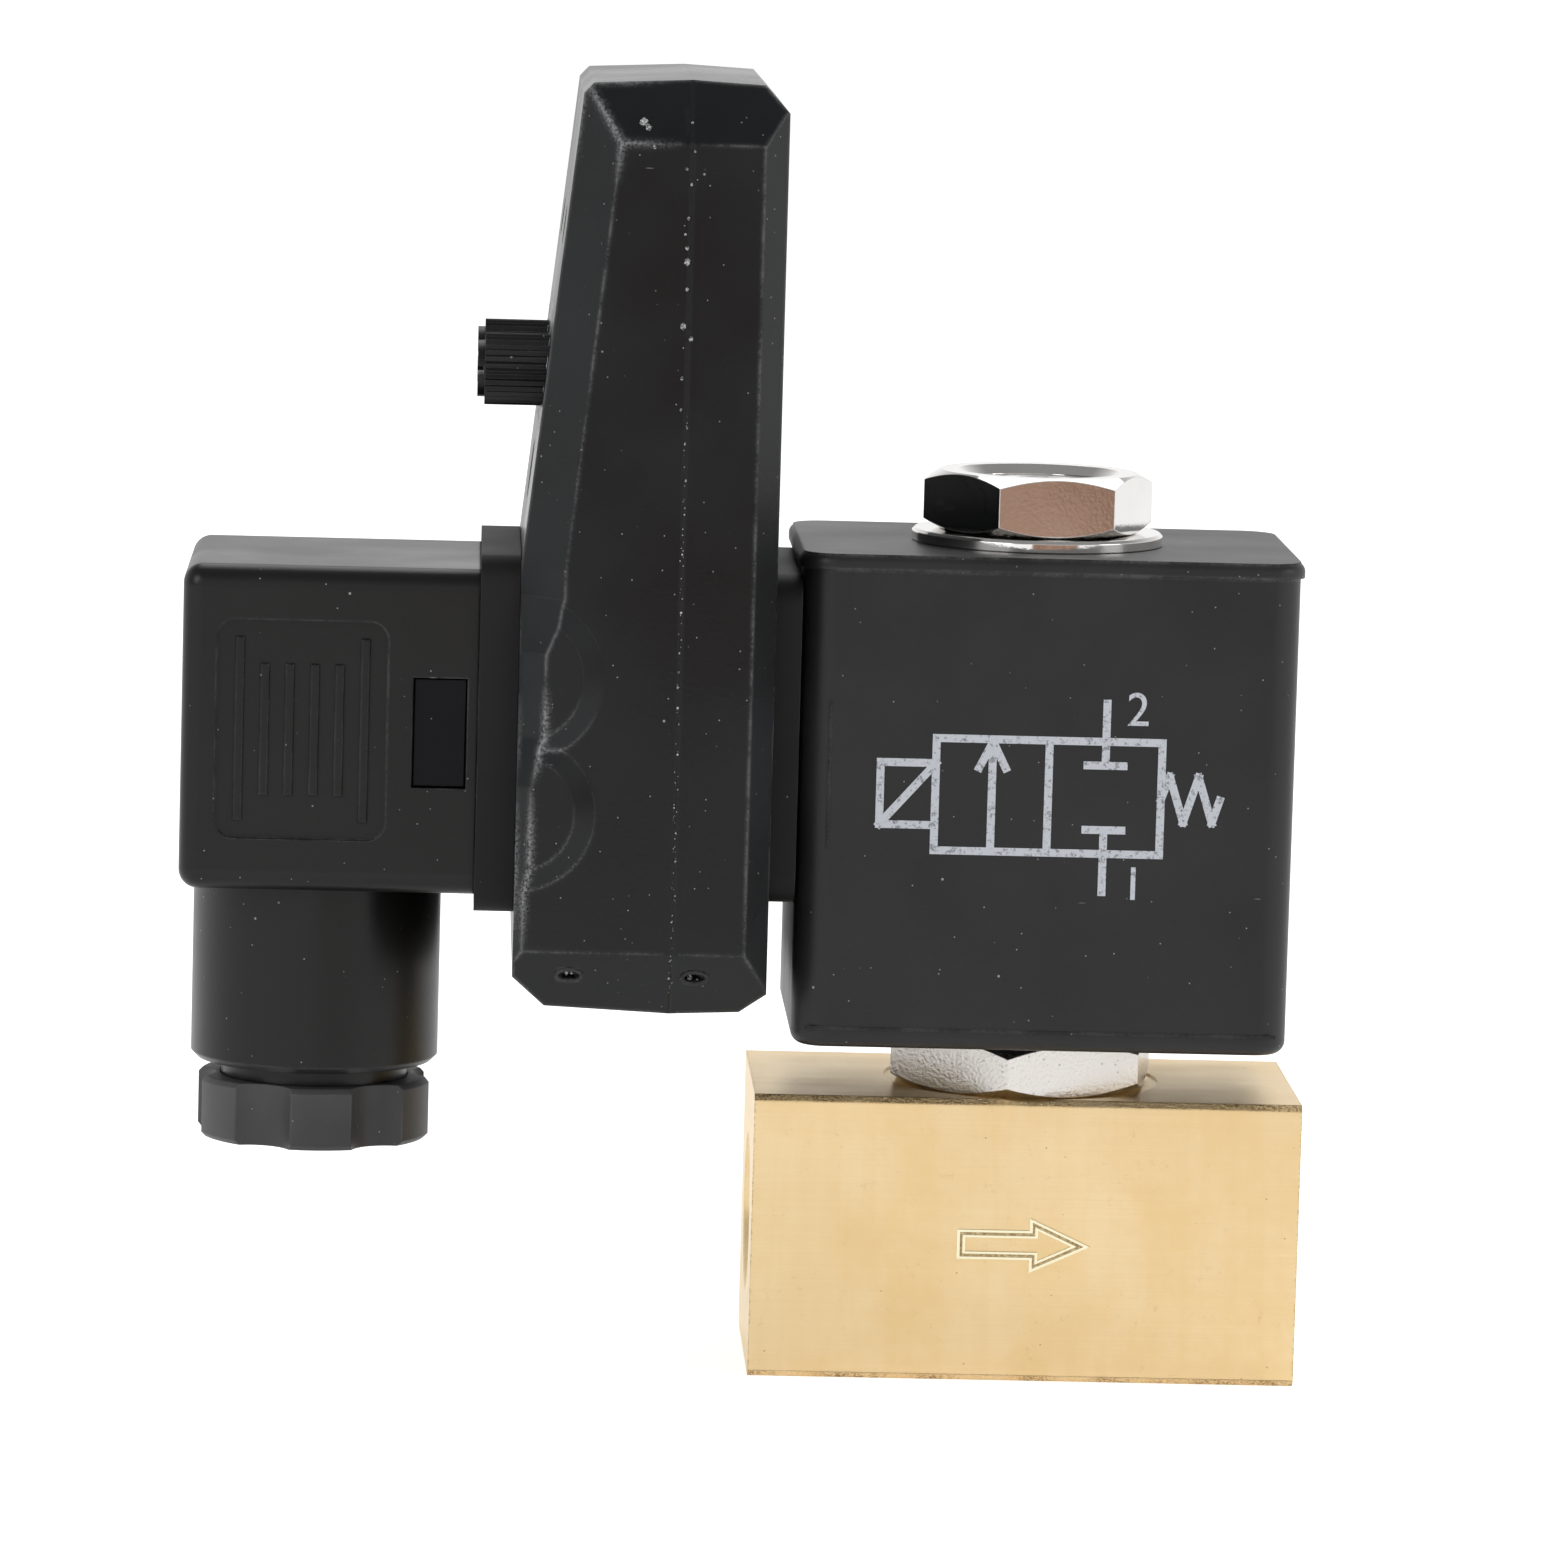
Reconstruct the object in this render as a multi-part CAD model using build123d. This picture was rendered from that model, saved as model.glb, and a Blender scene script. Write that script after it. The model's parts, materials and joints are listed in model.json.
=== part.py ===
from build123d import *
import math
import os

# Automatic drain valve: a brass two-way valve with a solenoid on top, and a
# timer held between the coil and its cable plug by one long screw.
# Millimetres. The origin is at the bottom centre of the brass body, under the
# solenoid's axis. +Z is up and +X is the direction of flow.

# Brass body
body_length = 46.0
body_width = 24.0
body_height = 24.0
body_edge_break = 0.5
port_bore_d = 11.445
port_mouth_d = 13.4
port_depth = 12.0
socket_d = 17.0
socket_depth = 9.0
chamber_d = 13.0
chamber_floor_below_axis = 0.5
seat_above_axis = 2.0
seat_base_d = 7.0
seat_rim_d = 4.4
orifice_d = 2.5
outlet_drill_d = 4.0
outlet_drill_below_axis = 3.4
inlet_drill_d = 3.2
inlet_drill_above_axis = 1.3
spot_face_d = 23.4
spot_face_depth = 0.15

# Guide tube, fixed core and plunger
hex_flats = 21.0
hex_height = 4.4
hex_turn = 21.0
hex_chamfer = 1.8
skirt_clearance = 0.025
skirt_end_gap = 0.4
skirt_edge = 0.6
o_ring_section = 1.2
o_ring_clearance = 0.03
guide_tube_d = 13.0
plunger_d = 10.5
plunger_clearance = 0.05
plunger_edge = 0.6
plunger_groove_width = 2.0
plunger_groove_depth = 1.0
core_plug_length = 15.15
core_press_gap = 0.01
core_edge = 0.3
shoulder_height = 2.2
stroke = 1.6
rest_gap = 0.05
seal_d = 6.0
seal_thickness = 2.4
seal_proud = 1.2
seal_edge = 0.3
seat_gap = 0.03
spring_wire_d = 0.6
spring_outer_d = 4.6
spring_wire_sides = 6
spring_pitch = 3.2
spring_bore_d = 5.2
spring_bore_depth = 14.0
ring_outer_d = 8.8
ring_inner_d = 6.8
ring_height = 1.2
ring_fit = 0.02
stem_d = 11.85
stem_edge = 0.8

# Coil
coil_left = 20.2
coil_right = 21.3
coil_width = 29.0
coil_height = 41.4
coil_corner_r = 2.8
coil_edge_r = 1.1
coil_lip_height = 1.3
coil_lip_proud = 0.35
coil_lip_r = 0.8
coil_turn_gap = 0.05
coil_end_wall = 2.5
coil_bore_clearance = 0.08
bobbin_wall = 1.1
flange_d = 25.0
flange_thickness = 1.2
winding_d = 24.0
yoke_thickness = 2.0
yoke_width = 20.0
yoke_side_gap = 0.3
inner_gap = 0.05
washer_d = 21.2
washer_bore_d = 12.6
washer_thickness = 1.0
washer_edge = 0.25
nut_flats = 17.0
nut_height = 5.0
nut_chamfer = 1.5
nut_turn = 7.0
nut_bore_d = 12.0
nut_mouth_d = 13.6
stem_below_nut_top = 0.9

# Plug connection: two line blades and one earth blade round a long screw
connector_above_coil_bottom = 25.55
blade_circle_r = 9.0
blade_width = 6.3
blade_thickness = 0.8
blade_reach = 10.8
blade_embed = 4.6
slot_gap = 0.25
screw_d = 2.95
screw_clearance = 0.3
screw_end_gap = 0.5
screw_edge = 0.3
screw_head_d = 5.6
screw_head_height = 2.0
screw_head_sink = 0.4
screw_slot_width = 0.8
screw_slot_depth = 1.1
screw_seal_thickness = 0.8
insert_d = 6.0
insert_length = 5.0
thread_gap = 0.05
coil_gasket_side = 27.5
coil_gasket_thickness = 2.3
plug_gasket_side = 29.8
plug_gasket_thickness = 3.3
gasket_corner_r = 2.4

# Timer case
timer_bottom_below_connector = 22.7
timer_height = 77.4
timer_width = 40.0
timer_depth = 21.1
bend_above_connector = 14.5
timer_taper = 6.0
timer_split_depth = 8.0
timer_draft = 2.8
timer_wall = 1.8
top_back_chamfer = (2.0, 2.1)
top_front_chamfer = (0.8, 0.8)
bottom_front_chamfer = (2.7, 2.5)
bottom_back_chamfer = (2.2, 1.6)
top_side_bevel = (4.0, 5.1)
bottom_side_bevel = (4.0, 5.5)
back_side_bevel = (2.0, 2.4)
front_bevel_wide = 3.6
front_bevel_middle = 1.7
front_bevel_narrow = 0.7
front_bevel_slope = 1.1
wide_bevel_above_connector = 12.0
middle_bevel_above_connector = 7.5
middle_bevel_length = 7.0
narrow_bevel_below_connector = 3.5
swell_proud = 0.5
swell_slope = 1.7
upper_swell_above_connector = 5.5
upper_swell_r = 7.0
lower_swell_below_connector = 5.7
lower_swell_r = 6.5
tongue_inset = 0.5
tongue_thickness = 0.7
tongue_height = 1.0
tongue_gap = 0.1
dimple_d = 1.7
dimple_depth = 0.6
dimple_height = 3.4
dimple_from_back = (6.0, 16.4)

# Timer electronics
board_thickness = 1.6
board_side_gap = 2.2
board_bottom_gap = 4.4
board_top_gap = 6.0
board_stand_off = 8.6
post_d = 5.0
post_side_inset = 2.5
post_end_inset = 4.0
board_screw_d = 2.0
board_screw_head_d = 3.6
board_screw_head_height = 1.2
board_screw_length = 5.0
tower_d = 7.0
tower_hole_gap = 0.5
knob_below_top = 24.7
knob_spread = 16.0
knob_d = 6.0
knob_flute_depth = 0.2
knob_flutes = 32
knob_reach = 5.0
knob_cap_d = 4.7
knob_cap_height = 0.6
knob_stub_d = 3.0
knob_stub_length = 3.4
knob_hole_gap = 0.3
knob_seat_gap = 0.3
knob_pointer_width = 0.7
knob_pointer_depth = 0.5
pot_width = 9.6
pot_height = 10.4
pot_depth = 4.8
button_below_top = 33.7
button_d = 4.8
button_gap = 0.1
button_flange_d = 6.4
button_flange_thickness = 0.8
button_sink = 0.3
button_travel = 0.8
switch_side = 6.0
switch_body_height = 2.2
switch_tip_d = 3.0
led_below_top = 12.7
led_spread = 12.0
led_d = 3.0
led_collar_d = 3.8
led_collar_height = 1.0
led_gap = 0.15
part_edge_break = 0.4
chip_size = (5.0, 8.0, 1.5)
chip_from_edge = 6.0
chip_z = 69.0
film_size = (10.0, 13.0, 6.0)
film_place = (8.0, 73.0)
triac_size = (10.0, 15.0, 4.4)
triac_place = (-8.5, 73.0)
triac_tab_height = 6.0
triac_tab_thickness = 1.3
triac_hole_d = 3.2
smoothing_d = 8.0
smoothing_length = 11.0
smoothing_place = (0.0, 91.0)
socket_wall = 0.7
socket_length = 8.0

# Cable plug
plug_length = 24.6
plug_side = 27.2
plug_corner_r = 1.8
plug_wall = 1.7
plug_end_wall = 1.8
plug_rear_r = 1.6
panel_width = 14.2
panel_height = 18.3
panel_corner_r = 1.6
panel_depth = 0.45
panel_from_end = 2.9
window_width = 4.5
window_height = 9.2
window_from_gasket = 0.9
latch_sink = 0.35
latch_gap = 0.15
neck_d = 20.9
neck_from_end = 11.4
neck_drop = 15.8
neck_edge_r = 0.5
spigot_d = 15.8
spigot_length = 3.7
spigot_edge = 0.4
gland_bore_d = 13.4
gland_bore_depth = 8.9
cable_bore_d = 10.4
cable_bore_below_boss = 1.0
insert_side = 23.2
insert_depth = 11.2
insert_back_set = 0.4
insert_corner_r = 1.5
contact_size = (5.0, 7.6)
contact_length = 9.2
contact_recess = 1.0
terminal_screw_d = 2.5
terminal_head_d = 3.8
terminal_head_height = 1.4
terminal_screw_length = 2.0
terminal_slot = 0.6
terminal_lift = 0.1
screw_boss_d = 8.6

# Cable gland
gland_nut_wall = 1.95
gland_nut_height = 5.2
gland_nut_gap = 1.4
gland_nut_floor = 1.2
gland_nut_hole_d = 10.6
gland_lobes = 6
gland_scallop_r = 3.3
gland_scallop_depth = 1.6
gland_lobe_turn = -55.0
gland_nut_edge = 0.4
gland_washer_d = 13.0
gland_washer_bore_d = 8.6
gland_washer_thickness = 0.8
gland_seal_length = 8.0
gland_seal_bore_d = 7.0
gland_seal_edge = 0.8
gland_play = 0.1

# Heights and places that follow from the sizes above
port_axis_z = body_height / 2
seat_z = port_axis_z + seat_above_axis
chamber_floor_z = port_axis_z - chamber_floor_below_axis
outlet_drill_z = port_axis_z - outlet_drill_below_axis
inlet_drill_z = port_axis_z + inlet_drill_above_axis
tube_seat_z = body_height - spot_face_depth
hex_top_z = body_height + hex_height
coil_bottom_z = hex_top_z + coil_turn_gap
coil_top_z = coil_bottom_z + coil_height
washer_z = coil_top_z + coil_turn_gap
nut_z = washer_z + washer_thickness
nut_top_z = nut_z + nut_height
stem_top_z = nut_top_z - stem_below_nut_top
tube_top_z = coil_top_z - coil_end_wall - shoulder_height
core_face_z = tube_top_z - core_plug_length
tube_bore_d = plunger_d + 2 * plunger_clearance
skirt_d = socket_d - 2 * skirt_clearance
skirt_bottom_z = body_height - socket_depth + skirt_end_gap
seal_bottom_z = seat_z + seat_gap
plunger_bottom_z = seal_bottom_z + seal_proud
plunger_top_z = core_face_z - stroke - rest_gap
coil_bore_d = guide_tube_d + 2 * coil_bore_clearance
coil_face_x = -coil_left
connector_z = coil_bottom_z + connector_above_coil_bottom
timer_back_x = coil_face_x - coil_gasket_thickness
timer_split_x = timer_back_x - timer_split_depth
timer_front_x = timer_back_x - timer_depth
timer_bottom_z = connector_z - timer_bottom_below_connector
timer_top_z = timer_bottom_z + timer_height
timer_bend_z = connector_z + bend_above_connector
middle_bevel_z = connector_z + middle_bevel_above_connector
knob_z = timer_top_z - knob_below_top
button_z = timer_top_z - button_below_top
led_z = timer_top_z - led_below_top
plug_face_x = timer_front_x - plug_gasket_thickness
plug_end_x = plug_face_x - plug_length
neck_x = plug_end_x + neck_from_end
neck_bottom_z = connector_z - plug_side / 2 - neck_drop
spigot_end_z = neck_bottom_z - spigot_length
board_back_x = timer_back_x - timer_wall - board_stand_off
board_front_x = board_back_x - board_thickness
board_bottom_z = timer_bottom_z + board_bottom_gap
board_length = timer_height - board_bottom_gap - board_top_gap
board_width = timer_width - 2 * (timer_wall + board_side_gap)
board_middle_z = board_bottom_z + board_length / 2
post_spread = board_width - 2 * post_side_inset
blade_tip_x = coil_face_x - blade_reach
timer_blade_tip_x = timer_front_x - blade_reach
insert_face_x = plug_face_x - insert_back_set
insert_back_x = insert_face_x - insert_depth
contact_near_x = insert_face_x - contact_recess
contact_far_x = contact_near_x - contact_length
gland_nut_bore_d = spigot_d + 2 * gland_play
gland_nut_d = gland_nut_bore_d + 2 * gland_nut_wall
gland_nut_top_z = neck_bottom_z - gland_nut_gap
gland_nut_bottom_z = gland_nut_top_z - gland_nut_height
gland_floor_z = gland_nut_bottom_z + gland_nut_floor


# Helpers

def turned(*profile):
    """A turned piece: the half profile of (radius, height) points, spun about Z."""
    outline = Polyline(*[(radius, 0, height) for radius, height in profile], close=True)
    return revolve(make_face(outline), Axis.Z, 360)


def rod(diameter, low, high, x=0.0, y=0.0):
    """A round bar along Z between two heights."""
    return extrude(Plane((x, y, low)) * Circle(diameter / 2), high - low)


def across(x, y, z):
    """The plane at a place that looks along +X, with +Y to its right and +Z up."""
    return Plane((x, y, z), x_dir=(0, 1, 0), z_dir=(1, 0, 0))


def slab(outline, x_from, x_to, y=0.0, z=connector_z):
    """A flat outline stretched along X between two places."""
    return extrude(across(min(x_from, x_to), y, z) * outline, abs(x_to - x_from))


def pin(diameter, x_from, x_to, y=0.0, z=connector_z):
    """A round bar along X between two places."""
    return slab(Circle(diameter / 2), x_from, x_to, y, z)


def lying(piece, x, y, z):
    """A piece turned about Z, laid down so that its top points along -X."""
    return Pos(x, y, z) * Rot(0, -90, 0) * piece


def hexagon(flats, low, high, turn, chamfer):
    """A hexagon bar, turned about Z, with its corners broken at both ends."""
    outline = Rot(0, 0, turn) * RegularPolygon(flats / 2, 6, major_radius=False)
    bar = extrude(Plane((0, 0, low)) * outline, high - low)
    corner_r = flats / math.sqrt(3)
    drop = chamfer * math.tan(math.radians(30))
    return bar & turned(
        (0, low), (corner_r - chamfer, low), (corner_r, low + drop),
        (corner_r, high - drop), (corner_r - chamfer, high), (0, high),
    )


def blade_places():
    """Where the blades stand round the screw: offset along Y and Z, and whether they lie flat."""
    return [(-blade_circle_r, 0.0, False), (blade_circle_r, 0.0, False), (0.0, -blade_circle_r, True)]


def blade_outline(flat, gap=0.0):
    """The section of a blade, or of the slot that it passes through."""
    long_side = blade_width + 2 * gap
    short_side = blade_thickness + 2 * gap
    return Rectangle(long_side, short_side) if flat else Rectangle(short_side, long_side)


def blades(x_from, x_to, gap=0.0):
    """The three blades, or their slots, between two places along X."""
    return [
        slab(blade_outline(flat, gap), x_from, x_to, y, connector_z + z)
        for y, z, flat in blade_places()
    ]


# Brass valve

def valve_body():
    """A square bar with a threaded port at each end and the seat under its top socket."""
    left_end = across(-body_length / 2, 0, body_height / 2)
    bar = extrude(left_end * Rectangle(body_width, body_height), body_length)
    bar = chamfer(bar.edges().filter_by(Axis.X), body_edge_break)
    mouth = (port_mouth_d - port_bore_d) / 2
    port = turned(
        (0, 0), (port_bore_d / 2 + mouth, 0), (port_bore_d / 2, -mouth),
        (port_bore_d / 2, -port_depth), (0, -port_depth),
    )
    bar -= Pos(body_length / 2, 0, port_axis_z) * Rot(0, 90, 0) * port
    bar -= Pos(-body_length / 2, 0, port_axis_z) * Rot(0, -90, 0) * port
    socket_floor_z = body_height - socket_depth
    groove_r = skirt_d / 2 + o_ring_section + 2 * o_ring_clearance
    groove_z = tube_seat_z - o_ring_section - o_ring_clearance
    bar -= turned(
        (orifice_d / 2, seat_z), (seat_rim_d / 2, seat_z), (seat_base_d / 2, chamber_floor_z),
        (chamber_d / 2, chamber_floor_z), (chamber_d / 2, socket_floor_z),
        (socket_d / 2, socket_floor_z), (socket_d / 2, groove_z), (groove_r, groove_z),
        (groove_r, tube_seat_z), (spot_face_d / 2, tube_seat_z), (spot_face_d / 2, body_height + 1),
        (0, body_height + 1), (0, seat_z),
    )
    port_end_x = body_length / 2 - port_depth
    bar -= rod(orifice_d, outlet_drill_z, seat_z)
    bar -= pin(outlet_drill_d, -orifice_d / 2, port_end_x, 0, outlet_drill_z)
    bar -= pin(inlet_drill_d, -port_end_x, -seat_base_d / 2, 0, inlet_drill_z)
    return bar


def core_tube():
    """The guide tube, with its hexagon and the threaded skirt that screws into the body."""
    tube = hexagon(hex_flats, tube_seat_z, hex_top_z, hex_turn, hex_chamfer)
    tube += turned(
        (0, skirt_bottom_z), (skirt_d / 2 - skirt_edge, skirt_bottom_z),
        (skirt_d / 2, skirt_bottom_z + skirt_edge),
        (skirt_d / 2, tube_seat_z), (guide_tube_d / 2, hex_top_z), (guide_tube_d / 2, tube_top_z),
        (0, tube_top_z),
    )
    return tube - rod(tube_bore_d, skirt_bottom_z - 1, tube_top_z + 1)


def body_o_ring():
    """The ring that seals the guide tube's skirt to the body, with an eight-sided section."""
    ring_r = skirt_d / 2 + o_ring_clearance + o_ring_section / 2
    ring_z = tube_seat_z - o_ring_clearance / 2 - o_ring_section / 2
    return turned(*ring_section(ring_r, ring_z, o_ring_section / 2))


def ring_section(middle_r, middle_z, section_r):
    """The eight corners of a round section, as (radius, height) points."""
    corners = [math.radians(22.5 + 45 * corner) for corner in range(8)]
    return [(middle_r + section_r * math.cos(a), middle_z + section_r * math.sin(a)) for a in corners]


def fixed_core():
    """The core that closes the guide tube, ending in the threaded stem for the nut."""
    core_r = tube_bore_d / 2 - core_press_gap
    shoulder_top_z = tube_top_z + shoulder_height
    core = turned(
        (0, core_face_z), (core_r - core_edge, core_face_z), (core_r, core_face_z + core_edge),
        (core_r, tube_top_z), (guide_tube_d / 2, tube_top_z), (guide_tube_d / 2, shoulder_top_z),
        (stem_d / 2, shoulder_top_z), (stem_d / 2, stem_top_z - stem_edge),
        (stem_d / 2 - stem_edge, stem_top_z), (0, stem_top_z),
    )
    groove = rod(ring_outer_d + 2 * ring_fit, core_face_z, core_face_z + ring_height + ring_fit)
    groove -= rod(ring_inner_d - 2 * ring_fit, core_face_z, core_face_z + ring_height + ring_fit)
    return core - groove


def shading_ring():
    """The copper ring in the core's face that keeps an alternating-current plunger quiet."""
    ring = rod(ring_outer_d, core_face_z, core_face_z + ring_height)
    return ring - rod(ring_inner_d, core_face_z, core_face_z + ring_height)


def plunger():
    """The plunger, with its seal pocket, its spring bore and two grooves for the water."""
    r = plunger_d / 2
    body = turned(
        (0, plunger_bottom_z), (r - plunger_edge, plunger_bottom_z), (r, plunger_bottom_z + plunger_edge),
        (r, plunger_top_z - plunger_edge), (r - plunger_edge, plunger_top_z), (0, plunger_top_z),
    )
    body -= rod(seal_d, plunger_bottom_z, seal_bottom_z + seal_thickness)
    body -= rod(spring_bore_d, plunger_top_z - spring_bore_depth, plunger_top_z)
    groove = Rectangle(plunger_groove_width, 2 * plunger_groove_depth)
    for side in (-1, 1):
        place = Plane((0, side * r, plunger_bottom_z))
        body -= extrude(place * groove, plunger_top_z - plunger_bottom_z)
    return body


def plunger_seal():
    """The rubber disc that shuts the seat."""
    seal_top_z = seal_bottom_z + seal_thickness
    return turned(
        (0, seal_bottom_z), (seal_d / 2 - seal_edge, seal_bottom_z), (seal_d / 2, seal_bottom_z + seal_edge),
        (seal_d / 2, seal_top_z), (0, seal_top_z),
    )


def plunger_spring():
    """The coil spring between the plunger's bore and the fixed core."""
    wire_r = spring_wire_d / 2
    low = plunger_top_z - spring_bore_depth + wire_r + inner_gap
    high = core_face_z - wire_r - inner_gap
    coil_r = spring_outer_d / 2 - wire_r
    path = Pos(0, 0, low) * Helix(spring_pitch, high - low, coil_r)
    section = Plane(path @ 0, x_dir=(1, 0, 0), z_dir=path % 0) * RegularPolygon(wire_r, spring_wire_sides)
    return sweep(section, path, is_frenet=True)


# Coil

def coil_cavity_box():
    """Half length along X, half width along Y, and the two heights of the coil's inside."""
    half_length = flange_d / 2 + yoke_side_gap + yoke_thickness + inner_gap
    half_width = flange_d / 2 + inner_gap
    return half_length, half_width, coil_bottom_z + coil_end_wall, coil_top_z - coil_end_wall


def coil_housing():
    """The moulded case round the winding, with a lip at its top and the bore for the tube."""
    length = coil_left + coil_right
    middle_x = (coil_right - coil_left) / 2
    outline = RectangleRounded(length, coil_width, coil_corner_r)
    block = extrude(Plane((middle_x, 0, coil_bottom_z)) * outline, coil_height)
    block = fillet(block.edges().group_by(Axis.Z)[0], coil_edge_r)
    lip_outline = RectangleRounded(
        length + 2 * coil_lip_proud, coil_width + 2 * coil_lip_proud, coil_corner_r + coil_lip_proud,
    )
    lip = extrude(Plane((middle_x, 0, coil_top_z - coil_lip_height)) * lip_outline, coil_lip_height)
    lip = fillet(lip.edges().group_by(Axis.Z)[-1], coil_lip_r)
    block += lip
    half_length, half_width, low, high = coil_cavity_box()
    block -= extrude(Plane((0, 0, low)) * Rectangle(2 * half_length, 2 * half_width), high - low)
    block -= rod(coil_bore_d, coil_bottom_z, coil_top_z)
    for slot in blades(coil_face_x, coil_face_x + blade_embed, inner_gap):
        block -= slot
    block -= pin(insert_d + 2 * inner_gap, coil_face_x, coil_face_x + insert_length + inner_gap)
    return block


def coil_yoke():
    """The steel frame round the winding, with a hole at top and bottom for the tube."""
    half_length, half_width, low, high = coil_cavity_box()
    half_length -= inner_gap
    frame = Rectangle(2 * half_length, high - low)
    frame -= Rectangle(2 * (half_length - yoke_thickness), high - low - 2 * yoke_thickness)
    place = Plane((0, yoke_width / 2, (low + high) / 2), x_dir=(1, 0, 0), z_dir=(0, -1, 0))
    yoke = extrude(place * frame, yoke_width)
    return yoke - rod(coil_bore_d, low, high)


def coil_bobbin():
    """The plastic spool that the wire is wound on."""
    half_length, half_width, low, high = coil_cavity_box()
    low += yoke_thickness
    high -= yoke_thickness
    bore_r = coil_bore_d / 2
    tube_r = bore_r + bobbin_wall
    flange_r = flange_d / 2
    return turned(
        (bore_r, low), (flange_r, low), (flange_r, low + flange_thickness), (tube_r, low + flange_thickness),
        (tube_r, high - flange_thickness), (flange_r, high - flange_thickness), (flange_r, high),
        (bore_r, high),
    )


def coil_winding():
    """The copper winding on the spool, as one solid."""
    half_length, half_width, low, high = coil_cavity_box()
    low += yoke_thickness + flange_thickness
    high -= yoke_thickness + flange_thickness
    wound = rod(winding_d, low, high)
    return wound - rod(coil_bore_d + 2 * bobbin_wall + 2 * inner_gap, low, high)


def coil_terminals():
    """The coil's two line blades and its earth blade."""
    return blades(blade_tip_x, coil_face_x + blade_embed)


def coil_screw_insert():
    """The threaded brass insert in the coil that the long screw pulls against."""
    insert = pin(insert_d, coil_face_x, coil_face_x + insert_length)
    return insert - pin(screw_d + 2 * thread_gap, coil_face_x, coil_face_x + insert_length)


def coil_gasket():
    """The flat rubber gasket between the coil and the timer."""
    outline = RectangleRounded(coil_gasket_side, coil_gasket_side, gasket_corner_r)
    return slotted(slab(outline, timer_back_x, coil_face_x), timer_back_x, coil_face_x)


def slotted(piece, x_from, x_to):
    """A piece with the three blade slots and the screw's hole through it."""
    for slot in blades(x_from, x_to, slot_gap):
        piece -= slot
    return piece - pin(screw_d + 2 * screw_clearance, x_from, x_to)


def coil_washer():
    """The bright washer under the nut, with its edges broken."""
    top = washer_z + washer_thickness
    r = washer_d / 2
    return turned(
        (washer_bore_d / 2, washer_z), (r, washer_z), (r, top - washer_edge), (r - washer_edge, top),
        (washer_bore_d / 2, top),
    )


def coil_nut():
    """The nut that holds the coil on the stem."""
    nut = hexagon(nut_flats, nut_z, nut_top_z, nut_turn, nut_chamfer)
    mouth = (nut_mouth_d - nut_bore_d) / 2
    bore_r = nut_bore_d / 2
    return nut - turned(
        (0, nut_z), (bore_r + mouth, nut_z), (bore_r, nut_z + mouth), (bore_r, nut_top_z - mouth),
        (bore_r + mouth, nut_top_z), (0, nut_top_z),
    )


# Timer case

def front_face_x(z):
    """Where the timer's front face stands at a height: upright below, leaning back above the bend."""
    return timer_front_x + max(0.0, z - timer_bend_z) * math.tan(math.radians(timer_taper))


def timer_section(z, bevel, inset, spread):
    """The case's outline at one height, a rectangle with its four corners cut off."""
    back = timer_back_x - inset
    front = front_face_x(z) + inset
    half = timer_width / 2 - inset + spread
    back_x = back_side_bevel[0] + spread * back_side_bevel[0] / back_side_bevel[1]
    back_y = back_side_bevel[1] + spread
    bevel += spread / front_bevel_slope
    bevel_y = bevel * front_bevel_slope
    return make_face(Polyline(
        (back, half - back_y, z), (back - back_x, half, z),
        (front + bevel, half, z), (front, half - bevel_y, z),
        (front, bevel_y - half, z), (front + bevel, -half, z),
        (back - back_x, -half, z), (back, back_y - half, z),
        close=True,
    ))


def timer_side_profile():
    """The case seen from the side, with its drafted ends and their chamfers."""
    slope = math.tan(math.radians(timer_draft))

    def low(x):
        return timer_bottom_z + abs(x - timer_split_x) * slope

    def high(x):
        return timer_top_z - abs(x - timer_split_x) * slope

    back = timer_back_x
    front = timer_front_x
    front_top = front_face_x(timer_top_z)
    points = [
        (back, low(back) + bottom_back_chamfer[1]),
        (back - bottom_back_chamfer[0], low(back - bottom_back_chamfer[0])),
        (timer_split_x, timer_bottom_z),
        (front + bottom_front_chamfer[0], low(front + bottom_front_chamfer[0])),
        (front, low(front) + bottom_front_chamfer[1]),
        (front, timer_bend_z),
        (front_top, high(front_top) - top_front_chamfer[1]),
        (front_top + top_front_chamfer[0], high(front_top + top_front_chamfer[0])),
        (timer_split_x, timer_top_z),
        (back - top_back_chamfer[0], high(back - top_back_chamfer[0])),
        (back, high(back) - top_back_chamfer[1]),
    ]
    return make_face(Polyline(*[(x, z) for x, z in points], close=True))


def timer_end_profile():
    """The case seen from the front, with the wide bevels at its top and bottom."""
    half = timer_width / 2
    top_y, top_z = top_side_bevel
    bottom_y, bottom_z = bottom_side_bevel
    points = [
        (half - bottom_y, timer_bottom_z), (half, timer_bottom_z + bottom_z), (half, timer_top_z - top_z),
        (half - top_y, timer_top_z), (top_y - half, timer_top_z), (-half, timer_top_z - top_z),
        (-half, timer_bottom_z + bottom_z), (bottom_y - half, timer_bottom_z),
    ]
    return make_face(Polyline(*points, close=True))


def bevelled_block(inset=0.0, spread=0.0):
    """The case's upright edges: front bevels that narrow in two steps on the way down."""
    levels = [
        (timer_bottom_z, front_bevel_narrow),
        (connector_z - narrow_bevel_below_connector, front_bevel_narrow),
        (middle_bevel_z - middle_bevel_length, front_bevel_middle),
        (middle_bevel_z, front_bevel_middle),
        (connector_z + wide_bevel_above_connector, front_bevel_wide),
        (timer_bend_z, front_bevel_wide),
        (timer_top_z, front_bevel_wide),
    ]
    return loft([timer_section(z, bevel, inset, spread) for z, bevel in levels], ruled=True)


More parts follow.
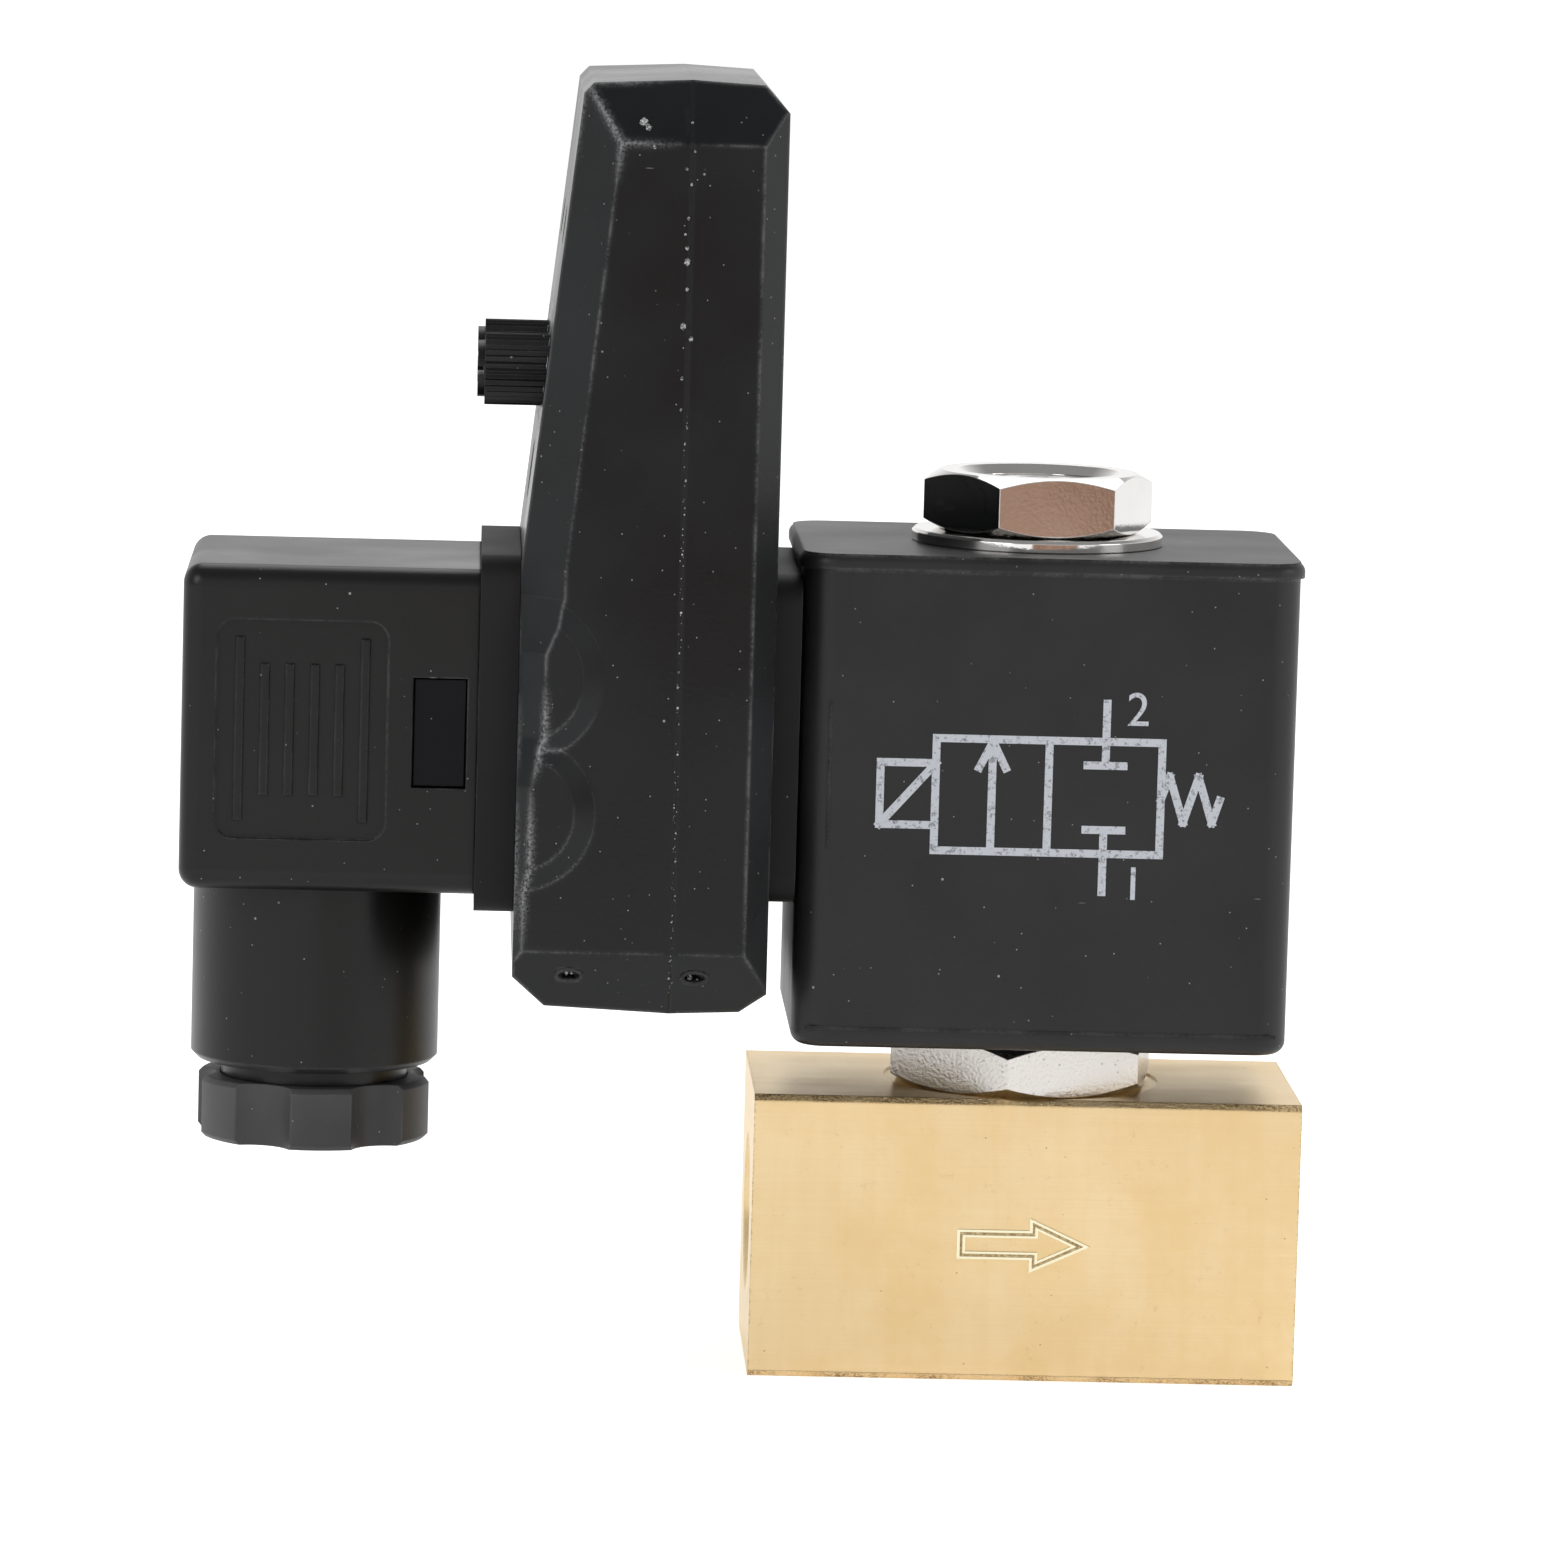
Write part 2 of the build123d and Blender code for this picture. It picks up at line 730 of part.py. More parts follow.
def timer_form(inset=0.0):
    """The case's outer form, or the same form drawn in by a wall."""
    form = bevelled_block(inset)
    side = timer_side_profile()
    end = timer_end_profile()
    if inset:
        side = offset(side, -inset, kind=Kind.INTERSECTION)
        end = offset(end, -inset, kind=Kind.INTERSECTION)
    upright = Plane((0, timer_width, 0), x_dir=(1, 0, 0), z_dir=(0, -1, 0))
    form &= extrude(upright * side, 2 * timer_width)
    facing = across(timer_front_x - 1, 0, 0)
    return form & extrude(facing * end, timer_depth + 2)


def side_swells():
    """The two shallow round swells beside the plug connection, on both sides of the case."""
    keep = bevelled_block(0.0, swell_proud)
    root = 2 * swell_proud
    swells = []
    upper = (connector_z + upper_swell_above_connector, upper_swell_r)
    lower = (connector_z - lower_swell_below_connector, lower_swell_r)
    for z, radius in (upper, lower):
        swell = turned(
            (0, -root), (radius, -root), (radius, 0), (radius - swell_slope, swell_proud), (0, swell_proud),
        )
        for side in (-1, 1):
            place = Pos(timer_front_x, side * timer_width / 2, z)
            swells.append((place * Rot(-90 * side, 0, 0) * swell) & keep)
    return swells


def case_half(front):
    """A slab that covers the case in front of the parting plane, or behind it."""
    far_x = timer_front_x - timer_wall if front else timer_back_x + timer_wall
    return case_slab(timer_split_x, far_x)


def case_slab(x_from, x_to):
    """A slab wider and taller than the case, between two places along X."""
    outline = Rectangle(2 * timer_width, 2 * timer_height)
    return slab(outline, x_from, x_to, 0, timer_bottom_z + timer_height / 2)


def weld_tongue(gap):
    """The tongue round the front shell's rim, or the groove that takes it."""
    outer = timer_form(tongue_inset - gap)
    inner = timer_form(tongue_inset + tongue_thickness + gap)
    return (outer - inner) & case_slab(timer_split_x, timer_split_x + tongue_height + gap)


def bottom_dimples():
    """The small round marks in the bevels at the bottom of the case."""
    marks = []
    for depth in dimple_from_back:
        for side in (-1, 1):
            z = timer_bottom_z + dimple_height
            y = timer_width / 2 - bottom_side_bevel[0] * (1 - dimple_height / bottom_side_bevel[1])
            lean = math.degrees(math.atan2(bottom_side_bevel[0], bottom_side_bevel[1]))
            mark = extrude(Circle(dimple_d / 2), dimple_depth, both=True)
            marks.append(Pos(timer_back_x - depth, side * y, z) * Rot(side * (90 + lean), 0, 0) * mark)
    return marks


def timer_shells():
    """The back and front shells, welded together at the tongue round their rims."""
    form = timer_form()
    for swell in side_swells():
        form += swell
    for mark in bottom_dimples():
        form -= mark
    shell = form - timer_form(timer_wall)
    front = shell & case_half(True)
    back = shell & case_half(False)
    front += weld_tongue(0.0)
    back -= weld_tongue(tongue_gap)
    return finish_back_shell(back), finish_front_shell(front)


def board_posts():
    """Where the four posts carry the board: offsets along Y and heights."""
    low = board_bottom_z + post_end_inset
    high = board_bottom_z + board_length - post_end_inset
    return [(side * post_spread / 2, z) for side in (-1, 1) for z in (low, high)]


def finish_back_shell(back):
    """Adds the posts and the screw tower, and cuts the openings towards the coil."""
    inner_x = timer_back_x - timer_wall
    for y, z in board_posts():
        back += pin(post_d, inner_x, board_back_x, y, z)
        back -= pin(board_screw_d + 2 * thread_gap, board_back_x, board_back_x + board_screw_length, y, z)
    tower_end_x = timer_front_x + timer_wall + inner_gap
    back += pin(tower_d, inner_x, tower_end_x)
    for slot in blades(inner_x, timer_back_x, slot_gap):
        back -= slot
    return back - pin(screw_d + 2 * screw_clearance, tower_end_x, timer_back_x)


def finish_front_shell(front):
    """Cuts the openings for the knobs, the button, the lamps and the plug connection."""
    outside_x = timer_front_x - 1
    inside_x = timer_split_x
    for y in (-knob_spread / 2, knob_spread / 2):
        front -= pin(knob_d + 2 * knob_hole_gap, outside_x, inside_x, y, knob_z)
    front -= pin(button_d + 2 * button_gap, outside_x, inside_x, 0, button_z)
    for y in (-led_spread / 2, led_spread / 2):
        front -= pin(led_d + 2 * led_gap, outside_x, inside_x, y, led_z)
    return slotted(front, timer_front_x, timer_front_x + timer_wall)


# Timer electronics

def timer_board():
    """The circuit board on its four posts."""
    outline = Rectangle(board_width, board_length)
    board = slab(outline, board_front_x, board_back_x, 0, board_middle_z)
    board -= pin(tower_d + 2 * tower_hole_gap, board_front_x, board_back_x)
    for y, z in board_posts():
        board -= pin(board_screw_d + 4 * thread_gap, board_front_x, board_back_x, y, z)
    return board


def board_screws():
    """The four small screws that hold the board."""
    screw = turned(
        (0, -board_screw_length), (board_screw_d / 2, -board_screw_length), (board_screw_d / 2, 0),
        (board_screw_head_d / 2, 0), (board_screw_head_d / 4, board_screw_head_height),
        (0, board_screw_head_height),
    )
    return [lying(screw, board_front_x, y, z) for y, z in board_posts()]


def potentiometer(y):
    """A trimmer on the board, with the hole in its rotor that the knob's stub turns in."""
    face_x = board_front_x - pot_depth
    body = slab(Rectangle(pot_width, pot_height), face_x, board_front_x, y, knob_z)
    return body - pin(knob_stub_d + 2 * rest_gap, face_x, board_front_x, y, knob_z)


def knob_outline():
    """The fluted outline of a knob."""
    points = []
    for step in range(2 * knob_flutes):
        radius = knob_d / 2 - (knob_flute_depth if step % 2 else 0.0)
        angle = math.pi * step / knob_flutes
        points.append((radius * math.cos(angle), radius * math.sin(angle)))
    return make_face(Polyline(*points, close=True))


def time_knob(y):
    """A fluted knob, with its end cap and pointer slot, and the stub that turns the trimmer."""
    seat_x = board_front_x - pot_depth - knob_seat_gap
    tip_x = front_face_x(knob_z) - knob_reach
    length = seat_x - tip_x
    knob = extrude(knob_outline(), length)
    knob += rod(knob_cap_d, length, length + knob_cap_height)
    knob += rod(knob_stub_d, -knob_stub_length, 0)
    slot_floor = Plane((0, 0, length + knob_cap_height - knob_pointer_depth))
    knob -= extrude(slot_floor * Rectangle(knob_pointer_width, knob_cap_d), knob_pointer_depth)
    return lying(knob, seat_x, y, knob_z)


def button_faces():
    """Where the test button's face, its flange and its inner end stand along X."""
    face_x = front_face_x(button_z) + button_sink
    wall_x = front_face_x(button_z + button_flange_d / 2) + timer_wall
    flange_x = wall_x + rest_gap
    end_x = board_front_x - switch_body_height - rest_gap - 2 * button_travel
    return face_x, flange_x, end_x


def test_button():
    """The flush button, kept in the case by its flange."""
    face_x, flange_x, end_x = button_faces()
    button = pin(button_d, face_x, end_x, 0, button_z)
    return button + pin(button_flange_d, flange_x, flange_x + button_flange_thickness, 0, button_z)


def test_switch():
    """The small switch on the board under the button."""
    face_x, flange_x, end_x = button_faces()
    outline = Rectangle(switch_side, switch_side)
    body = slab(outline, board_front_x - switch_body_height, board_front_x, 0, button_z)
    return body + pin(switch_tip_d, end_x + button_travel + rest_gap, board_front_x, 0, button_z)


def lamp(y):
    """A small round lamp, with its collar on the board and its dome in the case's hole."""
    face_x = front_face_x(led_z + led_d / 2)
    length = board_front_x - face_x - led_gap
    r = led_d / 2
    body = rod(led_collar_d, 0, led_collar_height) + rod(led_d, 0, length - r)
    body += Pos(0, 0, length - r) * Sphere(r)
    return lying(body, board_front_x, y, led_z)


def board_part(size, place, on_front):
    """A boxed part standing on one face of the board, with its edges eased."""
    wide, tall, deep = size
    y, z = place
    near = board_front_x - deep if on_front else board_back_x
    part = slab(Rectangle(wide, tall), near, near + deep, y, z)
    face = part.edges().group_by(Axis.X)[0 if on_front else -1]
    return chamfer(face, part_edge_break)


def triac():
    """The switching part, with its thin metal tab at the top."""
    body = board_part(triac_size, triac_place, False)
    y, z = triac_place
    tab_z = z + triac_size[1] / 2 + triac_tab_height / 2
    tab = Rectangle(triac_size[0], triac_tab_height) - Circle(triac_hole_d / 2)
    return body + slab(tab, board_back_x, board_back_x + triac_tab_thickness, y, tab_z)


def smoothing_capacitor():
    """A round capacitor lying on the board."""
    y, z = smoothing_place
    x = board_back_x + inner_gap + smoothing_d / 2
    low = z - smoothing_length / 2
    return rod(smoothing_d, low, low + smoothing_length, x, y)


def socket(y, z, flat, x_from, x_to):
    """A folded brass socket that grips a blade."""
    outer = blade_outline(flat, slot_gap / 2 + socket_wall)
    grip = slab(outer, x_from, x_to, y, z)
    return grip - slab(blade_outline(flat, slot_gap / 2), x_from, x_to, y, z)


def timer_sockets():
    """The three sockets behind the case's back wall that take the coil's blades."""
    end_x = board_back_x + inner_gap
    return [
        socket(y, connector_z + z, flat, end_x, end_x + socket_length)
        for y, z, flat in blade_places()
    ]


def timer_blades():
    """The timer's own blades, which stand out of its front into the plug."""
    return blades(timer_blade_tip_x, board_front_x)


# Cable plug

def plug_gasket():
    """The thick square gasket between the timer and the plug."""
    outline = RectangleRounded(plug_gasket_side, plug_gasket_side, gasket_corner_r)
    return slotted(slab(outline, plug_face_x, timer_front_x), plug_face_x, timer_front_x)


def plug_window_middle_x():
    """The middle of the latch window along X."""
    return plug_face_x - window_from_gasket - window_width / 2


def side_plane(x, side, reach):
    """A plane on one side of the plug that looks outwards along Y."""
    return Plane((x, side * reach, connector_z), x_dir=(-side, 0, 0), z_dir=(0, side, 0))


def plug_housing():
    """The plug's case, with the neck for the cable, the latch windows and the screw's boss."""
    outline = RectangleRounded(plug_side, plug_side, plug_corner_r)
    case = slab(outline, plug_end_x, plug_face_x)
    case = fillet(case.edges().group_by(Axis.X)[0], plug_rear_r)
    top_of_neck_z = connector_z - plug_side / 2 + plug_wall
    case += Pos(neck_x, 0, 0) * neck(top_of_neck_z)
    inner_side = plug_side - 2 * plug_wall
    case -= slab(Rectangle(inner_side, inner_side), plug_end_x + plug_end_wall, plug_face_x)
    case += pin(screw_boss_d, plug_end_x + plug_rear_r, insert_back_x - inner_gap)
    head_room = screw_head_sink + screw_head_height + screw_seal_thickness
    case -= pin(screw_head_d + 2 * screw_clearance, plug_end_x, plug_end_x + head_room)
    case -= pin(screw_d + 2 * screw_clearance, plug_end_x, insert_back_x)
    case -= rod(cable_bore_d, neck_bottom_z, connector_z - screw_boss_d / 2 - cable_bore_below_boss, neck_x)
    case -= rod(gland_bore_d, spigot_end_z, spigot_end_z + gland_bore_depth, neck_x)
    panel_x = plug_end_x + panel_from_end + panel_width / 2
    for side in (-1, 1):
        panel = side_plane(panel_x, side, plug_side / 2 - panel_depth)
        case -= extrude(panel * RectangleRounded(panel_width, panel_height, panel_corner_r), 2 * panel_depth)
        window = side_plane(plug_window_middle_x(), side, plug_side / 2 - 2 * plug_wall)
        case -= extrude(window * Rectangle(window_width, window_height), 3 * plug_wall)
    return case


def neck(top_z):
    """The round neck under the plug, with the threaded spigot at its end."""
    r = neck_d / 2
    return turned(
        (0, top_z), (r, top_z), (r, neck_bottom_z + neck_edge_r), (r - neck_edge_r, neck_bottom_z),
        (spigot_d / 2, neck_bottom_z), (spigot_d / 2, spigot_end_z + spigot_edge),
        (spigot_d / 2 - spigot_edge, spigot_end_z), (0, spigot_end_z),
    )


def contact_outline(flat, gap):
    """The section of a contact block, long side along the blade."""
    short_side = contact_size[0] + 2 * gap
    long_side = contact_size[1] + 2 * gap
    return Rectangle(long_side, short_side) if flat else Rectangle(short_side, long_side)


def contact_blocks(gap):
    """The three contact blocks in the insert, or the pockets that hold them."""
    return [
        slab(contact_outline(flat, gap), contact_far_x - gap, contact_near_x, y, connector_z + z)
        for y, z, flat in blade_places()
    ]


def plug_insert():
    """The block inside the plug that holds the contacts, with a latch on each side."""
    outline = RectangleRounded(insert_side, insert_side, insert_corner_r)
    insert = slab(outline, insert_back_x, insert_face_x)
    latch_half = plug_side / 2 - latch_sink
    latch = Rectangle(2 * latch_half, window_height - 2 * latch_gap)
    middle_x = plug_window_middle_x()
    half = window_width / 2 - latch_gap
    insert += slab(latch, middle_x - half, middle_x + half)
    for pocket in contact_blocks(inner_gap):
        insert -= pocket
    for y, z, flat in blade_places():
        insert -= pin(terminal_head_d + 2 * slot_gap, insert_back_x, contact_far_x, y, connector_z + z)
    return slotted(insert, insert_back_x, insert_face_x)


def plug_contacts():
    """The brass contact blocks, each slotted for a blade and tapped for its screw."""
    blade_end_x = timer_blade_tip_x - slot_gap
    screw_end_x = contact_far_x + terminal_screw_length + thread_gap
    blocks = []
    for block, place in zip(contact_blocks(0.0), blade_places()):
        y, z, flat = place
        block -= slab(blade_outline(flat, slot_gap / 2), blade_end_x, contact_near_x, y, connector_z + z)
        block -= pin(terminal_screw_d + 2 * thread_gap, contact_far_x, screw_end_x, y, connector_z + z)
        blocks.append(block)
    return blocks


def terminal_screws():
    """The three small screws that would clamp the wires."""
    r = terminal_screw_d / 2
    head_r = terminal_head_d / 2
    screw = turned(
        (0, -terminal_screw_length), (r, -terminal_screw_length), (r, terminal_lift), (head_r, terminal_lift),
        (head_r, terminal_head_height), (0, terminal_head_height),
    )
    slot = Plane((0, 0, terminal_head_height - terminal_slot)) * Rectangle(terminal_slot, terminal_head_d)
    screw -= extrude(slot, terminal_slot)
    return [lying(screw, contact_far_x, y, connector_z + z) for y, z, flat in blade_places()]


def connector_screw():
    """The long slotted screw that holds plug, timer and coil together."""
    head_x = plug_end_x + screw_head_sink + screw_head_height
    length = coil_face_x + insert_length - screw_end_gap - head_x
    screw = turned(
        (0, -length), (screw_d / 2 - screw_edge, -length), (screw_d / 2, screw_edge - length),
        (screw_d / 2, 0), (screw_head_d / 2, 0), (screw_head_d / 2, screw_head_height - screw_edge),
        (screw_head_d / 2 - screw_edge, screw_head_height), (0, screw_head_height),
    )
    slot = Plane((0, 0, screw_head_height - screw_slot_depth)) * Rectangle(screw_slot_width, screw_head_d)
    screw -= extrude(slot, screw_slot_depth)
    return lying(screw, head_x, 0, connector_z)


def screw_seal():
    """The rubber ring under the long screw's head."""
    near_x = plug_end_x + screw_head_sink + screw_head_height
    ring = pin(screw_head_d, near_x, near_x + screw_seal_thickness)
    return ring - pin(screw_d + 2 * thread_gap, near_x, near_x + screw_seal_thickness)


# Cable gland

def gland_seal():
    """The rubber bush that grips the cable, against the shoulder in the neck."""
    top_z = spigot_end_z + gland_bore_depth
    low_z = top_z - gland_seal_length
    r = gland_bore_d / 2 - inner_gap
    bore_r = gland_seal_bore_d / 2
    bush = turned(
        (bore_r, low_z), (r - gland_seal_edge, low_z), (r, low_z + gland_seal_edge),
        (r, top_z), (bore_r, top_z),
    )
    return Pos(neck_x, 0, 0) * bush


def gland_washer():
    """The thin ring between the nut and the rubber bush."""
    low_z = gland_floor_z + inner_gap
    high_z = low_z + gland_washer_thickness
    ring = rod(gland_washer_d, low_z, high_z, neck_x)
    return ring - rod(gland_washer_bore_d, low_z, high_z, neck_x)


def gland_nut():
    """The lobed nut, drawn as the plug was left: a turn short of tight."""
    outline = Circle(gland_nut_d / 2)
    reach = gland_nut_d / 2 + gland_scallop_r - gland_scallop_depth
    for lobe in range(gland_lobes):
        angle = math.radians(gland_lobe_turn + lobe * 360 / gland_lobes)
        outline -= Pos(reach * math.cos(angle), reach * math.sin(angle)) * Circle(gland_scallop_r)
    nut = extrude(Plane((0, 0, gland_nut_bottom_z)) * outline, gland_nut_height)
    r = gland_nut_d / 2
    nut &= turned(
        (0, gland_nut_bottom_z), (r - gland_nut_edge, gland_nut_bottom_z),
        (r, gland_nut_bottom_z + gland_nut_edge), (r, gland_nut_top_z - gland_nut_edge),
        (r - gland_nut_edge, gland_nut_top_z), (0, gland_nut_top_z),
    )
    nut -= rod(gland_nut_bore_d, gland_floor_z, gland_nut_top_z)
    nut -= rod(gland_nut_hole_d, gland_nut_bottom_z, gland_floor_z)
    return Pos(neck_x, 0, 0) * nut


# Writing the pieces

def write(name, shape):
    """Writes one piece, or a group of like pieces, to its own file."""
    solids = shape if isinstance(shape, list) else [shape]
    solids = [solid for piece in solids for solid in piece.solids()]
    whole = solids[0] if len(solids) == 1 else Compound(children=solids)
    export_step(whole, "parts/" + name + ".step")
    print(name, len(solids), "solid", round(sum(solid.volume for solid in solids), 2), "mm3")


os.makedirs("parts", exist_ok=True)
back_shell, front_shell = timer_shells()

pieces = {
    "valve_body": valve_body(),
    "core_tube": core_tube(),
    "body_o_ring": body_o_ring(),
    "fixed_core": fixed_core(),
    "shading_ring": shading_ring(),
    "plunger": plunger(),
    "plunger_seal": plunger_seal(),
    "plunger_spring": plunger_spring(),
    "coil_housing": coil_housing(),
    "coil_yoke": coil_yoke(),
    "coil_bobbin": coil_bobbin(),
    "coil_winding": coil_winding(),
    "coil_terminals": coil_terminals(),
    "coil_screw_insert": coil_screw_insert(),
    "coil_gasket": coil_gasket(),
    "coil_washer": coil_washer(),
    "coil_nut": coil_nut(),
    "timer_back_shell": back_shell,
    "timer_front_shell": front_shell,
    "timer_board": timer_board(),
    "board_screws": board_screws(),
    "on_time_trimmer": potentiometer(-knob_spread / 2),
    "off_time_trimmer": potentiometer(knob_spread / 2),
    "on_time_knob": time_knob(-knob_spread / 2),
    "off_time_knob": time_knob(knob_spread / 2),
    "test_button": test_button(),
    "test_switch": test_switch(),
    "power_lamp": lamp(-led_spread / 2),
    "valve_lamp": lamp(led_spread / 2),
    "timer_chip": board_part(chip_size, (board_width / 2 - chip_from_edge, chip_z), True),
    "film_capacitor": board_part(film_size, film_place, False),
    "smoothing_capacitor": smoothing_capacitor(),
    "triac": triac(),
    "timer_sockets": timer_sockets(),
    "timer_blades": timer_blades(),
    "plug_gasket": plug_gasket(),
    "plug_housing": plug_housing(),
    "plug_insert": plug_insert(),
    "plug_contacts": plug_contacts(),
    "terminal_screws": terminal_screws(),
    "connector_screw": connector_screw(),
    "screw_seal": screw_seal(),
    "gland_seal": gland_seal(),
    "gland_washer": gland_washer(),
    "gland_nut": gland_nut(),
}

for node_name, node_shape in pieces.items():
    write(node_name, node_shape)
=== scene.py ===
# %% [markdown]
# An automatic drain valve: a brass body, a nickel-plated stem and nut, a black
# coil, a slab-shaped black timer and a square cable plug. The solid model gives
# every piece its place and its size. This file gives it its looks: the camera and
# the light, a finish for each material, and the fine pieces that are printed,
# stamped, moulded or threaded on the real one.

# %% Load the solid model
import json
import math
import random

import bmesh
import bpy
from mathutils import Matrix, Quaternion, Vector


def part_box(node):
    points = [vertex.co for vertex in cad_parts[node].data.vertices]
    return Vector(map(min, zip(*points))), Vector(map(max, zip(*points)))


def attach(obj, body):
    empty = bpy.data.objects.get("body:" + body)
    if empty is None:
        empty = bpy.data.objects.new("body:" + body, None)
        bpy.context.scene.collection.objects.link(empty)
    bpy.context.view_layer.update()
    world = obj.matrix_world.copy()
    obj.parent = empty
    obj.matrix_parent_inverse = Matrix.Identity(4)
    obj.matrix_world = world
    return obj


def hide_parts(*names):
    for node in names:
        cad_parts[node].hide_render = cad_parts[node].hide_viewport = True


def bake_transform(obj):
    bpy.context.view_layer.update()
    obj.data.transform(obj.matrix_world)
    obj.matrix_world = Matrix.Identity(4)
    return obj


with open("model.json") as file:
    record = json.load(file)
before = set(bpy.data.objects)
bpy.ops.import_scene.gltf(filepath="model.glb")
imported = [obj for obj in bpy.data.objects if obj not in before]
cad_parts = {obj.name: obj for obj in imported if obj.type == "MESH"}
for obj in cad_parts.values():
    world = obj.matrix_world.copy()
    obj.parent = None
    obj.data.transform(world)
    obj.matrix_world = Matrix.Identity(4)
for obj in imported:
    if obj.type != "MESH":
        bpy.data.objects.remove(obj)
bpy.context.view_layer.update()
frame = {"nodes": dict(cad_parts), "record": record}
MM = 0.001

# %% [markdown]
# ## The camera
# The photograph is taken from nearly straight in front, a little from the left
# and a little from above, with a long lens. A long lens from far away keeps the
# edges nearly parallel. The focal length is written in pixels of the photograph,
# which Blender's sensor width turns into millimetres.

# %% The camera
frame_pixels = 1566
focal_pixels = 8400
sensor_width = 36.0
look_at = Vector((-20.9, 0.0, 48.8)) * MM
distance = 711.9 * MM
yaw, pitch, roll = (math.radians(angle) for angle in (2.26, 7.2, 1.6))

forward = Vector((math.sin(yaw) * math.cos(pitch), math.cos(yaw) * math.cos(pitch), -math.sin(pitch)))
camera = bpy.data.objects.new("camera", bpy.data.cameras.new("camera"))
bpy.context.scene.collection.objects.link(camera)
camera.data.sensor_width = sensor_width
camera.data.lens = focal_pixels / frame_pixels * sensor_width
camera.data.clip_end = 50.0
camera.location = look_at - forward * distance
camera.rotation_mode = "QUATERNION"
camera.rotation_quaternion = forward.to_track_quat("-Z", "Y") @ Quaternion((0, 0, 1), roll)
bpy.context.scene.camera = camera
bpy.context.scene.view_settings.view_transform = "Standard"
print("lens", round(camera.data.lens, 1), "mm")

# %% [markdown]
# ## Building a finish
# Every finish starts as Blender's Principled shader and gets its pattern from a
# few nodes that read Object coordinates, in metres. These small helpers add a
# node and wire it up in one line, so that a finish reads as a list of what the
# eye sees: clouds, grain, brush lines, dust, softened edges.


# %% Helpers for nodes
def new_finish(name, roughness, metallic=0.0, specular=0.5):
    """A new material: its node tree and its shader, with the even values set on the shader."""
    finish = bpy.data.materials.new(name)
    finish.use_nodes = True
    shader = finish.node_tree.nodes["Principled BSDF"]
    shader.inputs["Roughness"].default_value = roughness
    shader.inputs["Metallic"].default_value = metallic
    shader.inputs["Specular IOR Level"].default_value = specular
    return finish, finish.node_tree, shader


def add(tree, kind, inputs, **settings):
    """Adds a node, sets it up, and fills or wires its inputs by name or number."""
    made = tree.nodes.new("ShaderNode" + kind)
    for setting, value in settings.items():
        setattr(made, setting, value)
    for socket, value in inputs.items():
        if isinstance(value, bpy.types.NodeSocket):
            tree.links.new(value, made.inputs[socket])
        else:
            made.inputs[socket].default_value = value
    return made


def place(tree, stretch=(1.0, 1.0, 1.0)):
    """Object coordinates, squeezed along each axis by a factor."""
    coordinates = add(tree, "TexCoord", {}).outputs["Object"]
    return add(tree, "Mapping", {"Vector": coordinates, "Scale": stretch}).outputs["Vector"]


def clouds(tree, where, size, detail=3.0, roughness=0.5):
    """A soft random pattern whose patches are about size metres across."""
    inputs = {"Vector": where, "Scale": 1.0 / size, "Detail": detail, "Roughness": roughness}
    return add(tree, "TexNoise", inputs).outputs[0]


def ranged(tree, value, low, high, to_low, to_high):
    """A value's part between low and high, stretched to another range and clipped."""
    inputs = {0: value, 1: low, 2: high, 3: to_low, 4: to_high}
    return add(tree, "MapRange", inputs).outputs[0]


def mixed(tree, share, first, second):
    """A colour between two others."""
    return add(tree, "Mix", {0: share, 6: first, 7: second}, data_type="RGBA").outputs[2]


def sums(tree, operation, first, second):
    """One sum on two values, such as ADD, MULTIPLY or MAXIMUM."""
    return add(tree, "Math", {0: first, 1: second}, operation=operation).outputs[0]


def vector_sum(tree, operation, first, second):
    """One sum on two vectors whose result is a number, such as DOT_PRODUCT or DISTANCE."""
    return add(tree, "VectorMath", {0: first, 1: second}, operation=operation).outputs["Value"]


def size_of(tree, value):
    """A value without its sign."""
    return add(tree, "Math", {0: value}, operation="ABSOLUTE").outputs[0]


def specks(tree, cell, radius, share):
    """Round specks of one radius, in a share of the cells of a random grid."""
    cells = add(tree, "TexVoronoi", {"Vector": place(tree), "Scale": 1.0 / cell})
    near = ranged(tree, cells.outputs["Distance"], 0.6 * radius / cell, radius / cell, 1.0, 0.0)
    lucky = add(tree, "SeparateColor", {0: cells.outputs["Color"]}).outputs[0]
    chosen = ranged(tree, lucky, 1.0 - share, 1.0 - 0.9 * share, 0.0, 1.0)
    return sums(tree, "MULTIPLY", near, chosen)


def scratches(tree, turn, cell, width, share):
    """Straight fine scratches in one direction: specks stretched along a line."""
    squeeze, strongest = 0.12, 0.55
    coordinates = add(tree, "TexCoord", {}).outputs["Object"]
    along = add(tree, "Mapping", {
        "Vector": coordinates, "Rotation": turn, "Scale": (squeeze, 1.0, 1.0),
    }).outputs["Vector"]
    cells = add(tree, "TexVoronoi", {"Vector": along, "Scale": 1.0 / cell})
    near = ranged(tree, cells.outputs["Distance"], 0.3 * width / cell, width / cell, 1.0, 0.0)
    lucky = add(tree, "SeparateColor", {0: cells.outputs["Color"]}).outputs[1]
    chosen = ranged(tree, lucky, 1.0 - share, 1.0 - 0.5 * share, 0.0, strongest)
    return sums(tree, "MULTIPLY", near, chosen)


